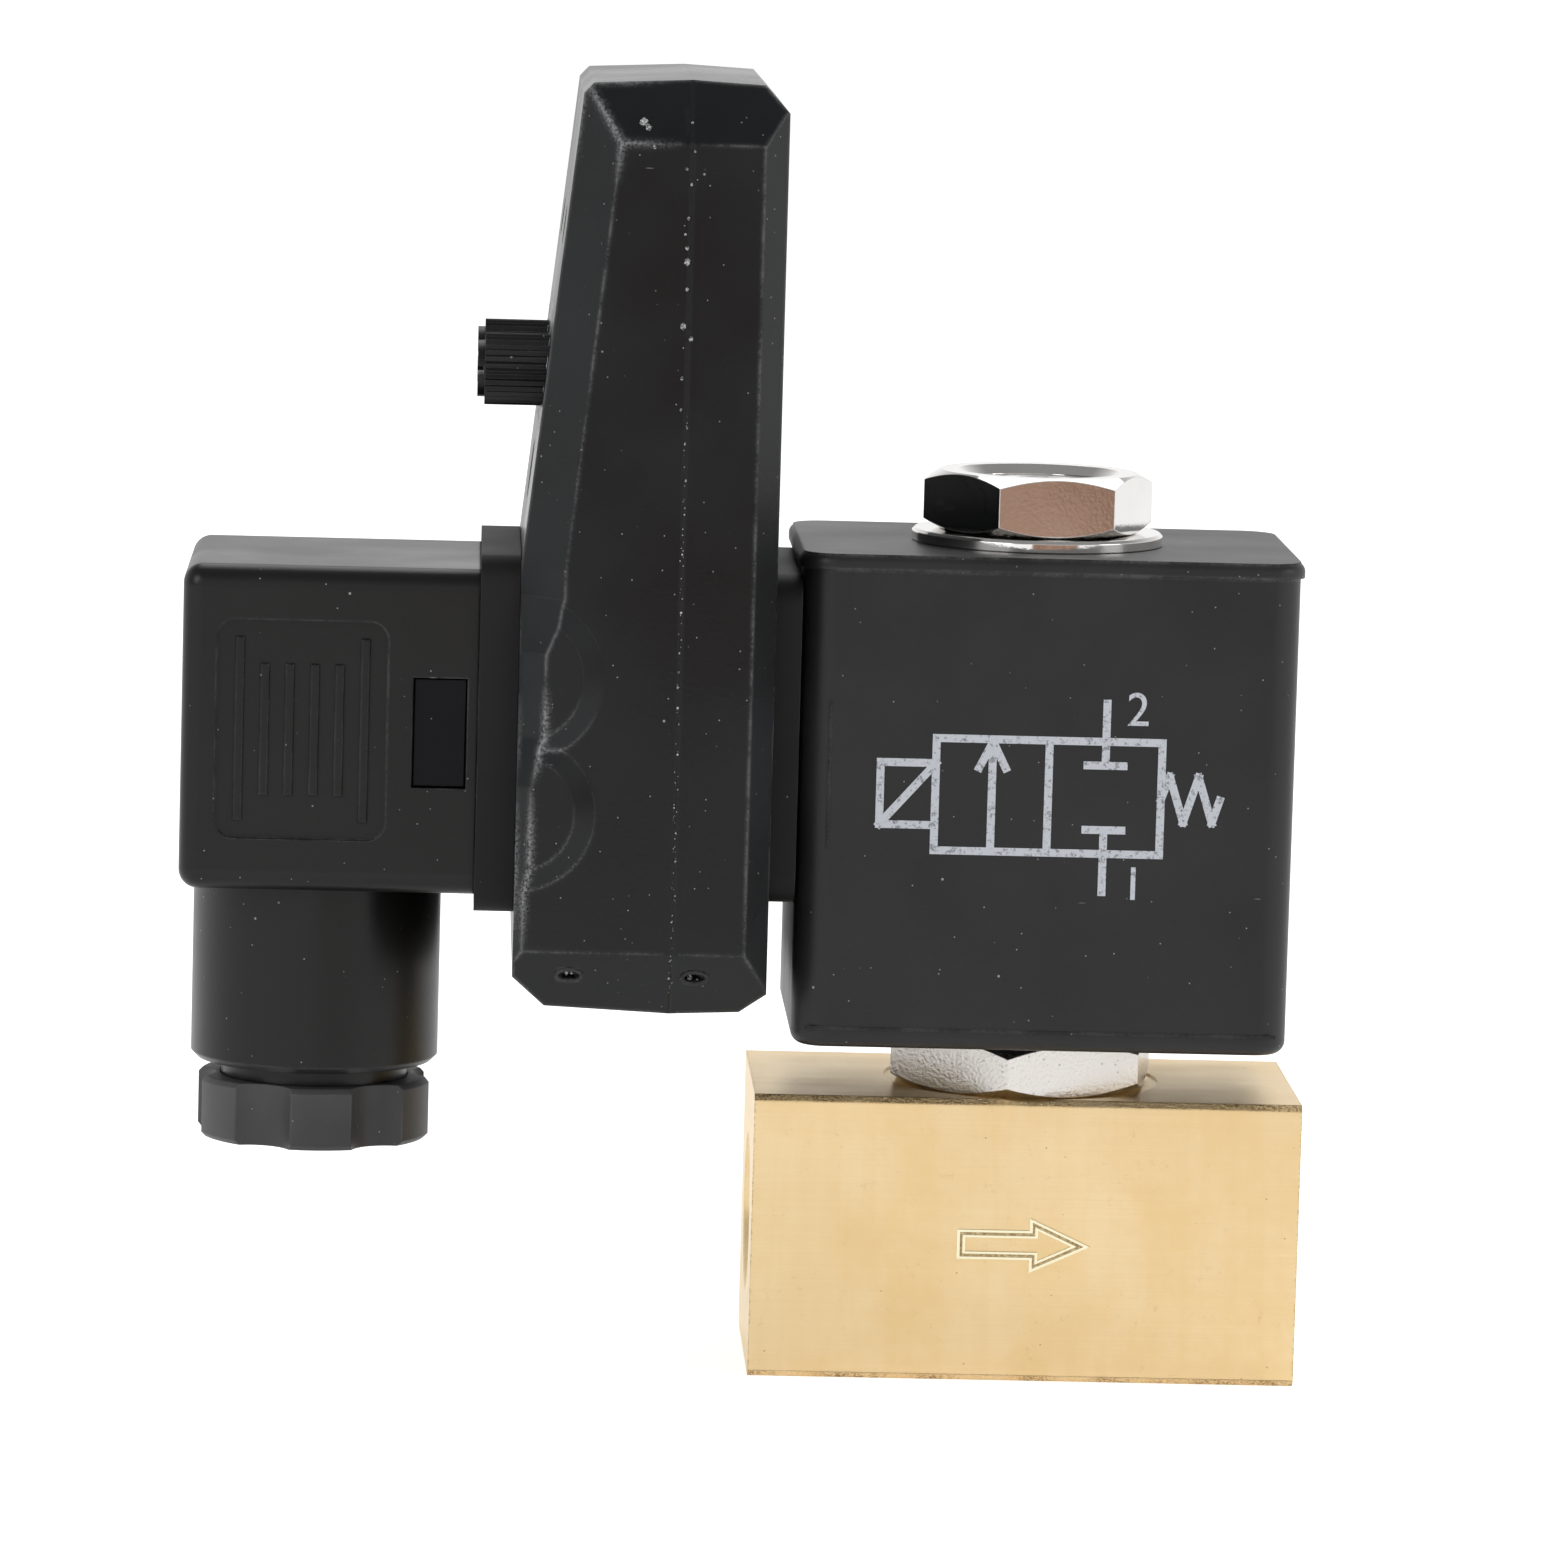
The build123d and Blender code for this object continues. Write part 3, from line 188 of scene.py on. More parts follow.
def soft_edges(tree, radius):
    """The surface direction with its edges rounded, and a mask that is 1 on those edges."""
    barely_turned, well_turned = 0.995, 0.93
    rounded = add(tree, "Bevel", {"Radius": radius}, samples=6).outputs["Normal"]
    flat = add(tree, "NewGeometry", {}).outputs["True Normal"]
    turn = vector_sum(tree, "DOT_PRODUCT", rounded, flat)
    return rounded, ranged(tree, turn, barely_turned, well_turned, 0.0, 1.0)


def bumped(tree, shader, height, depth, normal=None):
    """Gives the shader fine relief, depth metres deep, on top of a surface direction."""
    inputs = {"Height": height, "Distance": depth, "Strength": 1.0}
    if normal is not None:
        inputs["Normal"] = normal
    tree.links.new(add(tree, "Bump", inputs).outputs["Normal"], shader.inputs["Normal"])


# %% [markdown]
# ## The floor, the backdrop and the light
# The photograph is a studio picture on pure white. The floor is a pale matt
# sheet that keeps a soft shadow. The world is white where the camera and
# reflections see it, and dimmer as a light, so the object is lit at a plain
# level. Reflections see a darker ceiling and a darker wall at the front left, as
# in a studio whose backdrop is white and whose roof is dark. Large soft lamps
# model the shapes.


# %% A helper for what stands round the object
def stage_sheet(name, width, height, where, finish):
    """A flat sheet that belongs to the studio, not to the object."""
    sheet = bpy.data.objects.new(name, bpy.data.meshes.new(name))
    stretch = Matrix.Diagonal((width, height, 1.0, 1.0))
    shape = bmesh.new()
    bmesh.ops.create_grid(shape, x_segments=1, y_segments=1, size=0.5, matrix=where @ stretch)
    shape.to_mesh(sheet.data)
    shape.free()
    sheet.data.materials.append(finish)
    bpy.context.scene.collection.objects.link(sheet)
    print(name, width, "x", height, "m")
    return sheet


# %% The floor
floor_size = 12.0
floor_tone = (0.86, 0.86, 0.86, 1.0)
floor_lift, mirrored_lift = 0.6, 0.42

floor_finish, tree, shader = new_finish("pale_floor", 0.9, specular=0.2)
shader.inputs["Base Color"].default_value = floor_tone
rays = add(tree, "LightPath", {}).outputs
mirrored = sums(tree, "MAXIMUM", rays["Is Glossy Ray"], rays["Is Transmission Ray"])
lift = add(tree, "Emission", {"Strength": sums(
    tree, "MAXIMUM", sums(tree, "MULTIPLY", rays["Is Camera Ray"], floor_lift),
    sums(tree, "MULTIPLY", mirrored, mirrored_lift),
)})
both = add(tree, "AddShader", {0: shader.outputs[0], 1: lift.outputs[0]})
tree.links.new(both.outputs[0], tree.nodes["Material Output"].inputs["Surface"])
stage_sheet("floor", floor_size, floor_size, Matrix.Identity(4), floor_finish)

# %% The world
world_light, ceiling_light, left_wall_light = 0.5, 0.3, 0.35
ceiling_from, ceiling_full = 0.2, 0.7
left_wall_from, left_wall_full = 0.66, 0.86
left_wall = Vector((-0.8, -0.6, 0.0))
world = bpy.data.worlds.new("studio")
bpy.context.scene.world = world
world.use_nodes = True
tree = world.node_tree
rays = add(tree, "LightPath", {}).outputs
look = add(tree, "TexCoord", {}).outputs["Generated"]
leftness = vector_sum(tree, "DOT_PRODUCT", look, left_wall)
height = add(tree, "SeparateXYZ", {0: look}).outputs["Z"]
walls = sums(
    tree, "MULTIPLY", ranged(tree, height, ceiling_from, ceiling_full, 1.0, ceiling_light),
    ranged(tree, leftness, left_wall_from, left_wall_full, 1.0, left_wall_light),
)
mirrored = sums(tree, "MULTIPLY", rays["Is Glossy Ray"], walls)
seen = sums(tree, "MAXIMUM", rays["Is Camera Ray"], rays["Is Transmission Ray"])
other = sums(tree, "SUBTRACT", 1.0, sums(tree, "MAXIMUM", seen, rays["Is Glossy Ray"]))
light = sums(
    tree, "MAXIMUM", sums(tree, "MAXIMUM", seen, mirrored), sums(tree, "MULTIPLY", other, world_light),
)
tree.nodes["Background"].inputs["Color"].default_value = (1.0, 1.0, 1.0, 1.0)
tree.links.new(light, tree.nodes["Background"].inputs["Strength"])
print("world light", world_light)


# %% The lamps
def soft_lamp(name, spot, size, watts):
    """A square lamp that points at the object."""
    lamp = bpy.data.objects.new(name, bpy.data.lights.new(name, "AREA"))
    lamp.data.shape = "SQUARE"
    lamp.data.size = size
    lamp.data.energy = watts
    lamp.location = spot
    lamp.rotation_mode = "QUATERNION"
    lamp.rotation_quaternion = (look_at - lamp.location).to_track_quat("-Z", "Y")
    bpy.context.scene.collection.objects.link(lamp)
    print(name, watts, "W")


soft_lamp("key_lamp", Vector((-0.70, -0.75, 0.60)), 0.6, 3.6)
soft_lamp("top_lamp", Vector((0.10, 0.60, 0.95)), 0.8, 3.6)
soft_lamp("right_lamp", Vector((0.95, -0.35, 0.45)), 0.4, 1.6)

# %% [markdown]
# Mirror-bright plate shows whatever stands round it, and on plain white it looks
# flat. A low card in a warm brown stands in front of the object, a little to the
# right. Only reflections see it, so it colours one face of the nut.

# %% The warm card
card_width, card_height = 0.36, 0.10
card_middle = (0.12, -0.44, 0.05)
card_dark, card_pale = (0.22, 0.125, 0.085, 1.0), (0.56, 0.36, 0.27, 1.0)
blot_size = 0.022

card_finish, tree, shader = new_finish("warm_card", 0.8, specular=0.2)
shader.inputs["Base Color"].default_value = (0.0, 0.0, 0.0, 1.0)
blots = ranged(tree, clouds(tree, place(tree), blot_size, 3.0, 0.7), 0.38, 0.62, 0.0, 1.0)
tree.links.new(mixed(tree, blots, card_dark, card_pale), shader.inputs["Emission Color"])
shader.inputs["Emission Strength"].default_value = 1.0
card_place = Matrix.Translation(card_middle) @ Matrix.Rotation(math.pi / 2, 4, "X")
card = stage_sheet("warm_card", card_width, card_height, card_place, card_finish)
card.visible_camera = False
card.visible_diffuse = False
card.visible_shadow = False

# %% [markdown]
# ## Black plastics and rubber
# The coil, the timer, the plug and the gaskets are all black, yet no two look
# the same. What differs is gloss and grain: the coil is matt with a fine grain,
# the timer and the plug a smoother satin with dust on them, and the rubber dull.
# Only the gland nut is dark grey. One helper makes them all, and each finish
# sets its own values. Black plastic shows its edges as fine pale lines, where
# handling has polished them.


# %% A helper for moulded plastic
dust_tone = (0.34, 0.34, 0.35, 1.0)
wear_tone = (0.20, 0.20, 0.205, 1.0)
scratch_turns = ((0.3, 0.9, 0.2), (0.2, -0.5, 1.1), (1.0, 1.6, -0.4))
scratch_cell, scratch_width = 1.5 * MM, 0.05 * MM
smudge_size, patch_size, crumb_size, streak_size = 14 * MM, 3.5 * MM, 0.3 * MM, 0.25 * MM
flush_width, scrape_width = 0.5 * MM, 1.1 * MM


def moulded(
    name, tone, gloss, grain, depth, edge, wear=0.35, dust=0.3, specular=0.33, seam=None, knocks=(),
):
    """A moulded plastic: its tone, roughness, grain size and depth, edge radius, and its wear.

    Seam is the place along X of two edges that lie flush, so that they show no wear.
    Knocks are places, each with a radius, where the edges are rubbed pale.
    """
    finish, tree, shader = new_finish(name, gloss, specular=specular)
    smudges = clouds(tree, place(tree), smudge_size, 4.0)
    light = [min(1.0, 1.3 * c) for c in tone] + [1.0]
    dark = [0.75 * c for c in tone] + [1.0]
    colour = mixed(tree, ranged(tree, smudges, 0.35, 0.65, 0.0, 1.0), dark, light)
    normal, rim = soft_edges(tree, edge)
    patches = clouds(tree, place(tree), patch_size, 2.0)
    crumbs = clouds(tree, place(tree), crumb_size, 3.0, 0.8)
    scuffs = ranged(tree, sums(tree, "ADD", patches, crumbs), 0.88, 1.20, 0.12 * wear, wear)
    worn = sums(tree, "MULTIPLY", rim, scuffs)
    if seam is not None:
        across = add(tree, "SeparateXYZ", {0: place(tree)}).outputs["X"]
        away = size_of(tree, sums(tree, "SUBTRACT", across, seam))
        worn = sums(tree, "MULTIPLY", worn, ranged(tree, away, flush_width, 1.4 * flush_width, 0.0, 1.0))
    colour = mixed(tree, worn, colour, wear_tone)
    if knocks:
        wide_rim = ranged(tree, soft_edges(tree, scrape_width)[1], 0.1, 0.5, 0.0, 1.0)
        streaks = ranged(tree, clouds(tree, place(tree), streak_size, 3.0, 0.8), 0.42, 0.56, 0.0, 1.0)
        scraped = sums(tree, "MULTIPLY", wide_rim, streaks)
    for spot, radius in knocks:
        away = vector_sum(tree, "DISTANCE", place(tree), spot)
        near = ranged(tree, away, 0.4 * radius, radius, 1.0, 0.0)
        colour = mixed(tree, sums(tree, "MULTIPLY", scraped, near), colour, dust_tone)
    for cell, radius, share in ((2.6 * MM, 0.13 * MM, dust), (1.1 * MM, 0.07 * MM, 1.6 * dust)):
        colour = mixed(tree, specks(tree, cell, radius, share), colour, dust_tone)
    for turn in scratch_turns:
        hairlines = scratches(tree, turn, scratch_cell, scratch_width, 0.8 * dust)
        colour = mixed(tree, hairlines, colour, dust_tone)
    tree.links.new(colour, shader.inputs["Base Color"])
    tree.links.new(
        ranged(tree, smudges, 0.3, 0.7, gloss - 0.04, gloss + 0.06), shader.inputs["Roughness"],
    )
    bumped(tree, shader, clouds(tree, place(tree), grain, 2.0), depth, normal)
    return finish


# %% [markdown]
# The timer's case sticks out furthest and takes the knocks. Three places on its
# front left edges are rubbed pale: the mitre at the top, and two by the swells.
# The seam between its halves is flush, so no edge shows there.

# %% The timer's black
split_from_back = 8.0
case_low, case_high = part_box("timer_front_shell")
split_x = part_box("timer_back_shell")[1].x - split_from_back * MM
case_knocks = [
    ((case_low.x + 7.5 * MM, case_low.y + 2.5 * MM, case_high.z - 3.6 * MM), 5.5 * MM),
    ((case_low.x + 2.0 * MM, case_low.y + 0.5 * MM, case_low.z + 12.5 * MM), 7.0 * MM),
    ((case_low.x + 2.7 * MM, case_low.y + 0.5 * MM, case_low.z + 23.5 * MM), 4.5 * MM),
]
case_black = moulded(
    "case_black", (0.005, 0.006, 0.007), 0.27, 0.5 * MM, 0.006 * MM, 0.55 * MM,
    wear=0.9, dust=0.5, specular=0.32, seam=split_x, knocks=case_knocks,
)
print("knocks at z", [round(spot[2] / MM, 1) for spot, radius in case_knocks])

# %% The other black finishes
coil_black = moulded(
    "coil_black", (0.013, 0.013, 0.014), 0.40, 0.22 * MM, 0.014 * MM, 0.45 * MM,
    wear=0.5, dust=0.4, specular=0.40,
)
plug_black = moulded("plug_black", (0.005, 0.005, 0.005), 0.31, 0.35 * MM, 0.008 * MM, 0.25 * MM)
insert_black = moulded(
    "insert_black", (0.003, 0.003, 0.005), 0.42, 0.35 * MM, 0.006 * MM, 0.15 * MM,
    wear=0.2, dust=0.1, specular=0.16,
)
gland_grey = moulded("gland_grey", (0.068, 0.068, 0.070), 0.44, 0.4 * MM, 0.008 * MM, 0.25 * MM)
knob_black = moulded("knob_black", (0.005, 0.005, 0.005), 0.36, 0.3 * MM, 0.004 * MM, 0.08 * MM, wear=0.3)
rubber_black = moulded(
    "rubber_black", (0.006, 0.006, 0.007), 0.58, 0.3 * MM, 0.010 * MM, 0.15 * MM,
    wear=0.2, dust=0.1, specular=0.3,
)
epoxy_black = moulded(
    "epoxy_black", (0.022, 0.022, 0.024), 0.5, 0.2 * MM, 0.005 * MM, 0.1 * MM, wear=0.1, dust=0.0,
)
print("finishes so far", len(bpy.data.materials))

# %% [markdown]
# ## Brass
# The body is sawn from square brass bar, brushed along its length and never
# polished. Its brush lines are noise squeezed hard across the line and left long
# along it. Two sets, one for upright faces and one for level ones, keep the
# lines running along X on every long face. Soft warm patches and a few brown
# pits are early tarnish.

# %% Brass
brass, tree, shader = new_finish("brass", 0.34, metallic=1.0)
pale_gold = (0.91, 0.715, 0.425, 1.0)
deep_gold = (0.85, 0.63, 0.315, 1.0)
tarnish_brown = (0.38, 0.235, 0.10, 1.0)
scratch_gold = (1.0, 0.88, 0.62, 1.0)
line_length, line_width, band_width = 18 * MM, 0.09 * MM, 1.6 * MM
bar_middle, edge_from, edge_full, edge_relief = 12.0 * MM, 23.42 * MM, 23.50 * MM, 22.0


def brushed(tree, size, detail):
    """Noise with its own size along each axis, which gives lines along the longest."""
    stretched = place(tree, [1 / length for length in size])
    inputs = {"Vector": stretched, "Scale": 1.0, "Detail": detail}
    return add(tree, "TexNoise", inputs).outputs[0]


upright = brushed(tree, (line_length, line_length, line_width), 3.0)
level = brushed(tree, (line_length, line_width, line_length), 3.0)
bands = brushed(tree, (band_width, line_length, line_length), 4.0)
brushing = sums(tree, "ADD", upright, level)
patches = ranged(tree, clouds(tree, place(tree), 7 * MM, 5.0, 0.65), 0.42, 0.75, 0.0, 1.0)
colour = mixed(tree, patches, pale_gold, deep_gold)
colour = mixed(tree, ranged(tree, brushing, 0.8, 1.25, 0.0, 0.35), colour, deep_gold)
colour = mixed(tree, ranged(tree, bands, 0.42, 0.62, 0.0, 0.30), colour, deep_gold)
stains = ranged(tree, clouds(tree, place(tree), 1.3 * MM, 6.0, 0.75), 0.60, 0.76, 0.0, 0.30)
colour = mixed(tree, stains, colour, tarnish_brown)
for cell, share in ((1.7 * MM, 0.14), (0.8 * MM, 0.05)):
    pits = sums(tree, "MULTIPLY", specks(tree, cell, 0.09 * MM, share), 0.7)
    colour = mixed(tree, pits, colour, tarnish_brown)
for turn in ((0.0, 0.0, 0.0), (0.0, 0.06, 0.0), (0.0, 1.5, 0.0)):
    colour = mixed(tree, scratches(tree, turn, 1.8 * MM, 0.05 * MM, 0.2), colour, scratch_gold)
normal, rim = soft_edges(tree, 0.3 * MM)
sparkle = clouds(tree, place(tree), 0.22 * MM, 3.0, 0.7)

# the broken edges along the body keep the saw's rough marks, dark with dirt
axes = add(tree, "SeparateXYZ", {0: place(tree)}).outputs
above_middle = sums(tree, "SUBTRACT", axes["Z"], bar_middle)
outermost = sums(tree, "ADD", size_of(tree, axes["Y"]), size_of(tree, above_middle))
broken_edge = ranged(tree, outermost, edge_from, edge_full, 0.0, 1.0)
dirty = ranged(tree, clouds(tree, place(tree), 6 * MM, 3.0), 0.44, 0.56, 0.25, 1.0)
hollows = ranged(tree, sparkle, 0.42, 0.58, 0.95, 0.0)
grime = sums(tree, "MULTIPLY", sums(tree, "MULTIPLY", broken_edge, dirty), hollows)
rim_dirt = sums(tree, "MULTIPLY", rim, ranged(tree, sparkle, 0.50, 0.60, 0.0, 0.8))
grime = sums(tree, "MAXIMUM", grime, rim_dirt)
colour = mixed(tree, grime, colour, tarnish_brown)
tree.links.new(colour, shader.inputs["Base Color"])
tree.links.new(ranged(tree, brushing, 0.75, 1.25, 0.28, 0.40), shader.inputs["Roughness"])
saw_marks = sums(tree, "MULTIPLY", broken_edge, sums(tree, "MULTIPLY", sparkle, edge_relief))
bumped(tree, shader, sums(tree, "ADD", brushing, saw_marks), 0.006 * MM, normal)
print("brass", len(tree.nodes), "nodes")

# %% [markdown]
# ## Plated and bare metal
# The nut and the washer are bright nickel, almost a mirror. The hexagon under
# the coil has the same plate over a rougher turned surface, with small pits, so
# it looks satin. Springs, screws and the plunger are bare or zinc-plated steel.


# %% A helper for metal
def metal(name, tone, gloss, relief, depth, spread=0.04, edge=0.12 * MM, pits=0.0):
    """A metal: its tone, roughness, the size and depth of its relief, and a share of small pits."""
    finish, tree, shader = new_finish(name, gloss, metallic=1.0)
    haze = clouds(tree, place(tree), 5 * MM, 4.0)
    dark, light = [0.93 * c for c in tone] + [1.0], list(tone) + [1.0]
    colour = mixed(tree, ranged(tree, haze, 0.3, 0.7, 0.0, 1.0), dark, light)
    if pits:
        spots = sums(tree, "MULTIPLY", specks(tree, 0.7 * MM, 0.12 * MM, pits), 0.6)
        colour = mixed(tree, spots, colour, [0.35 * c for c in tone] + [1.0])
    tree.links.new(colour, shader.inputs["Base Color"])
    tree.links.new(ranged(tree, haze, 0.3, 0.7, gloss - spread, gloss + spread), shader.inputs["Roughness"])
    bumped(tree, shader, clouds(tree, place(tree), relief, 3.0), depth, soft_edges(tree, edge)[0])
    return finish


# %% The metals
bright_nickel = metal("bright_nickel", (0.80, 0.785, 0.765), 0.07, 0.30 * MM, 0.005 * MM, 0.03)
satin_nickel = metal("satin_nickel", (0.75, 0.72, 0.68), 0.27, 0.30 * MM, 0.045 * MM, 0.05, pits=0.6)
# the struck arrow's ridges: burnished brass, with a tone paler than brass has, which is painted highlight
struck_brass_painted_highlight = metal("struck_brass_painted_highlight", (1.0, 0.94, 0.68), 0.24, 0.4 * MM, 0.004 * MM, edge=0.03 * MM)
stainless = metal("stainless", (0.66, 0.65, 0.64), 0.28, 0.35 * MM, 0.005 * MM)
bare_copper = metal("bare_copper", (0.80, 0.42, 0.26), 0.30, 0.4 * MM, 0.004 * MM)
spring_steel = metal("spring_steel", (0.56, 0.57, 0.59), 0.30, 0.3 * MM, 0.003 * MM)
zinc_plate = metal("zinc_plate", (0.70, 0.71, 0.73), 0.27, 0.5 * MM, 0.005 * MM)
print("finishes so far", len(bpy.data.materials))

# %% [markdown]
# The winding is hundreds of turns of enamelled wire laid side by side. A wave
# along the coil's own axis, one ripple for each turn, gives the copper its lines:
# a small bump for each wire, and a colour that is dark on the wires' sides and
# bright on their crowns, which is painted shade and painted highlight.

# %% The winding
winding_copper, tree, shader = new_finish("winding_copper", 0.3, metallic=0.85)
wire_pitch = 0.32 * MM
wave_length = 2 * math.pi / 20  # of Blender's wave at a scale of 1
turns = add(tree, "TexWave", {
    "Vector": place(tree), "Scale": wave_length / wire_pitch, "Distortion": 0.0,
}, bands_direction="Z").outputs["Fac"]
# the copper's colour follows the ripple: painted shade between the wires, painted highlight on their crowns
tree.links.new(
    mixed(tree, turns, (0.20, 0.065, 0.025, 1.0), (0.62, 0.24, 0.10, 1.0)), shader.inputs["Base Color"],
)
bumped(tree, shader, turns, 0.1 * MM)
print("winding", round(wire_pitch / MM, 2), "mm pitch")

# %% [markdown]
# ## The parts on the circuit board
# Nothing of the board shows while the case is shut, but the model can be taken
# apart. The board is green lacquer over copper tracks, and its parts have the
# plain colours that such parts have.

# %% The circuit board
board_green, tree, shader = new_finish("board_green", 0.35)
track_spacing = 3.2 * MM
track_cells = add(tree, "TexVoronoi", {
    "Vector": place(tree), "Scale": 1 / track_spacing, "Randomness": 0.6,
}, feature="DISTANCE_TO_EDGE", voronoi_dimensions="3D").outputs["Distance"]
tracks = ranged(tree, track_cells, 0.07, 0.10, 0.0, 1.0)
tree.links.new(
    mixed(tree, tracks, (0.010, 0.085, 0.030, 1.0), (0.022, 0.20, 0.062, 1.0)), shader.inputs["Base Color"],
)
bumped(tree, shader, tracks, 0.03 * MM)
print("board", len(tree.nodes), "nodes")


# %% A helper for small coloured plastics
def coloured(name, tone, gloss, clear=0.0):
    """A small glossy plastic piece of one colour, which lets some light through if it is clear."""
    finish, tree, shader = new_finish(name, gloss)
    drift = clouds(tree, place(tree), 3 * MM, 3.0)
    dark = [0.8 * c for c in tone] + [1.0]
    tree.links.new(mixed(tree, drift, dark, list(tone) + [1.0]), shader.inputs["Base Color"])
    shader.inputs["Transmission Weight"].default_value = clear
    tree.links.new(ranged(tree, drift, 0.3, 0.7, gloss, gloss + 0.08), shader.inputs["Roughness"])
    bumped(tree, shader, clouds(tree, place(tree), 0.4 * MM), 0.004 * MM, soft_edges(tree, 0.12 * MM)[0])
    return finish


button_red = coloured("button_red", (0.50, 0.02, 0.02), 0.25)
natural_nylon = coloured("natural_nylon", (0.68, 0.64, 0.54), 0.40)
dipped_yellow = coloured("dipped_yellow", (0.72, 0.48, 0.05), 0.22)
sleeve_blue = coloured("sleeve_blue", (0.03, 0.05, 0.17), 0.28)
trimmer_blue = coloured("trimmer_blue", (0.03, 0.14, 0.44), 0.30)
lamp_green = coloured("lamp_green", (0.05, 0.42, 0.09), 0.12, 0.5)
lamp_red = coloured("lamp_red", (0.60, 0.02, 0.02), 0.12, 0.5)
ring_white = coloured("ring_white", (0.60, 0.60, 0.58), 0.42)
print("finishes so far", len(bpy.data.materials))

# %% [markdown]
# ## Dressing the solids
# Each node of the solid model names a material slot, so one table from slot to
# finish dresses them all. The hexagon and its tube get their own finish, because
# they are duller than the rest of their slot.

# %% Dress the nodes
slot_finish = {
    "brass": brass, "nickel": bright_nickel, "stainless": stainless, "copper": bare_copper,
    "winding": winding_copper, "spring_steel": spring_steel, "yoke_steel": zinc_plate,
    "coil_black": coil_black, "case_black": case_black, "plug_black": plug_black,
    "gland_grey": gland_grey, "knob_black": knob_black, "button_red": button_red,
    "bobbin_plastic": natural_nylon, "insert_plastic": insert_black, "rubber": rubber_black,
    "board_green": board_green, "component_black": epoxy_black, "component_yellow": dipped_yellow,
    "can_sleeve": sleeve_blue, "trimmer_blue": trimmer_blue, "lamp_green": lamp_green,
    "lamp_red": lamp_red, "zinc_screw": zinc_plate, "gland_ring": ring_white,
}
node_finish = {"core_tube": satin_nickel}

for part in frame["record"]["subparts"]:
    node = frame["nodes"][part["node"]]
    finish = node_finish.get(part["node"], slot_finish[part["material_slot"]])
    if not node.material_slots:
        node.data.materials.append(finish)
    for material_slot in node.material_slots:
        material_slot.material = finish

# %% [markdown]
# ## Small pieces on flat faces
# The printed, stamped and moulded details all sit on flat faces. Each is drawn
# in millimetres in the flat, with its height towards the viewer, and one matrix
# then lays it on its face. That keeps the drawing easy to read and puts it
# exactly where the solid model has the face.


# %% Helpers for pieces on a face
to_metres = Matrix.Diagonal((MM, MM, MM, 1.0))


def on_face(origin, right, up):
    """The matrix from a flat drawing in millimetres to a face, given its right and up directions."""
    right, up = Vector(right).normalized(), Vector(up).normalized()
    turn = Matrix((right, up, right.cross(up))).transposed().to_4x4()
    return Matrix.Translation(origin) @ turn @ to_metres


def finished(name, shape, matrix, body, finish, smooth=False):
    """Turns a drawing into a piece of the model, which rides on a body if one is named."""
    bmesh.ops.transform(shape, matrix=matrix, verts=shape.verts)
    bmesh.ops.recalc_face_normals(shape, faces=shape.faces)
    piece = bpy.data.objects.new(name, bpy.data.meshes.new(name))
    shape.to_mesh(piece.data)
    shape.free()
    piece.data.materials.append(finish)
    for face in piece.data.polygons:
        face.use_smooth = smooth
    bpy.context.scene.collection.objects.link(piece)
    if body:
        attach(piece, body)
    print(name, len(piece.data.polygons), "faces")
    return piece


def bar(shape, start, end, width, height, rounding=0.0):
    """A straight raised line in a drawing, from start to end, with its top edges rounded."""
    start, end = Vector(start), Vector(end)
    along = end - start
    middle = ((start + end) / 2).to_3d()
    middle.z = height / 2
    turn = Matrix.Rotation(math.atan2(along.y, along.x), 4, "Z")
    size = Matrix.Diagonal((along.length + width, width, height, 1.0))
    made = bmesh.ops.create_cube(shape, size=1.0, matrix=Matrix.Translation(middle) @ turn @ size)
    if rounding:
        edges = {e for v in made["verts"] for e in v.link_edges if all(w.co.z > height / 2 for w in e.verts)}
        bmesh.ops.bevel(
            shape, geom=list(edges), offset=rounding, segments=2, profile=0.5, affect="EDGES", material=-1,
        )


# %% [markdown]
# ## The flow arrow
# The arrow on the brass is struck with an outline punch, which leaves two fine
# raised lines, one inside the other. A flat arrow is inset three times, which
# gives three rings. Rings that aren't wanted are taken away, and the rest are
# pulled up from the brass.


# %% A helper for the arrow's rings
arrow_outline = [
    (-5.7, 10.4), (0.4, 10.4), (0.4, 9.3), (5.54, 11.65), (0.4, 14.0), (0.4, 12.95), (-5.7, 12.95),
]
outer_ridge, ridge_gap, inner_ridge = 0.26, 0.20, 0.24


def arrow_rings(kept, height):
    """Some of the arrow's three rings, counted from outside, pulled up from the brass."""
    shape = bmesh.new()
    arrow = shape.faces.new([shape.verts.new((x, z, 0.0)) for x, z in arrow_outline])
    shape.normal_update()
    away = [arrow]
    for ring, width in enumerate((outer_ridge, ridge_gap, inner_ridge)):
        inset = bmesh.ops.inset_region(
            shape, faces=[arrow], thickness=width, use_even_offset=True, use_boundary=True,
        )
        if ring not in kept:
            away += inset["faces"]
    bmesh.ops.delete(shape, geom=away, context="FACES")
    raised = bmesh.ops.extrude_face_region(shape, geom=list(shape.faces), use_keep_orig=True)
    tops = [v for v in raised["geom"] if isinstance(v, bmesh.types.BMVert)]
    bmesh.ops.translate(shape, vec=(0.0, 0.0, height), verts=tops)
    return shape, tops


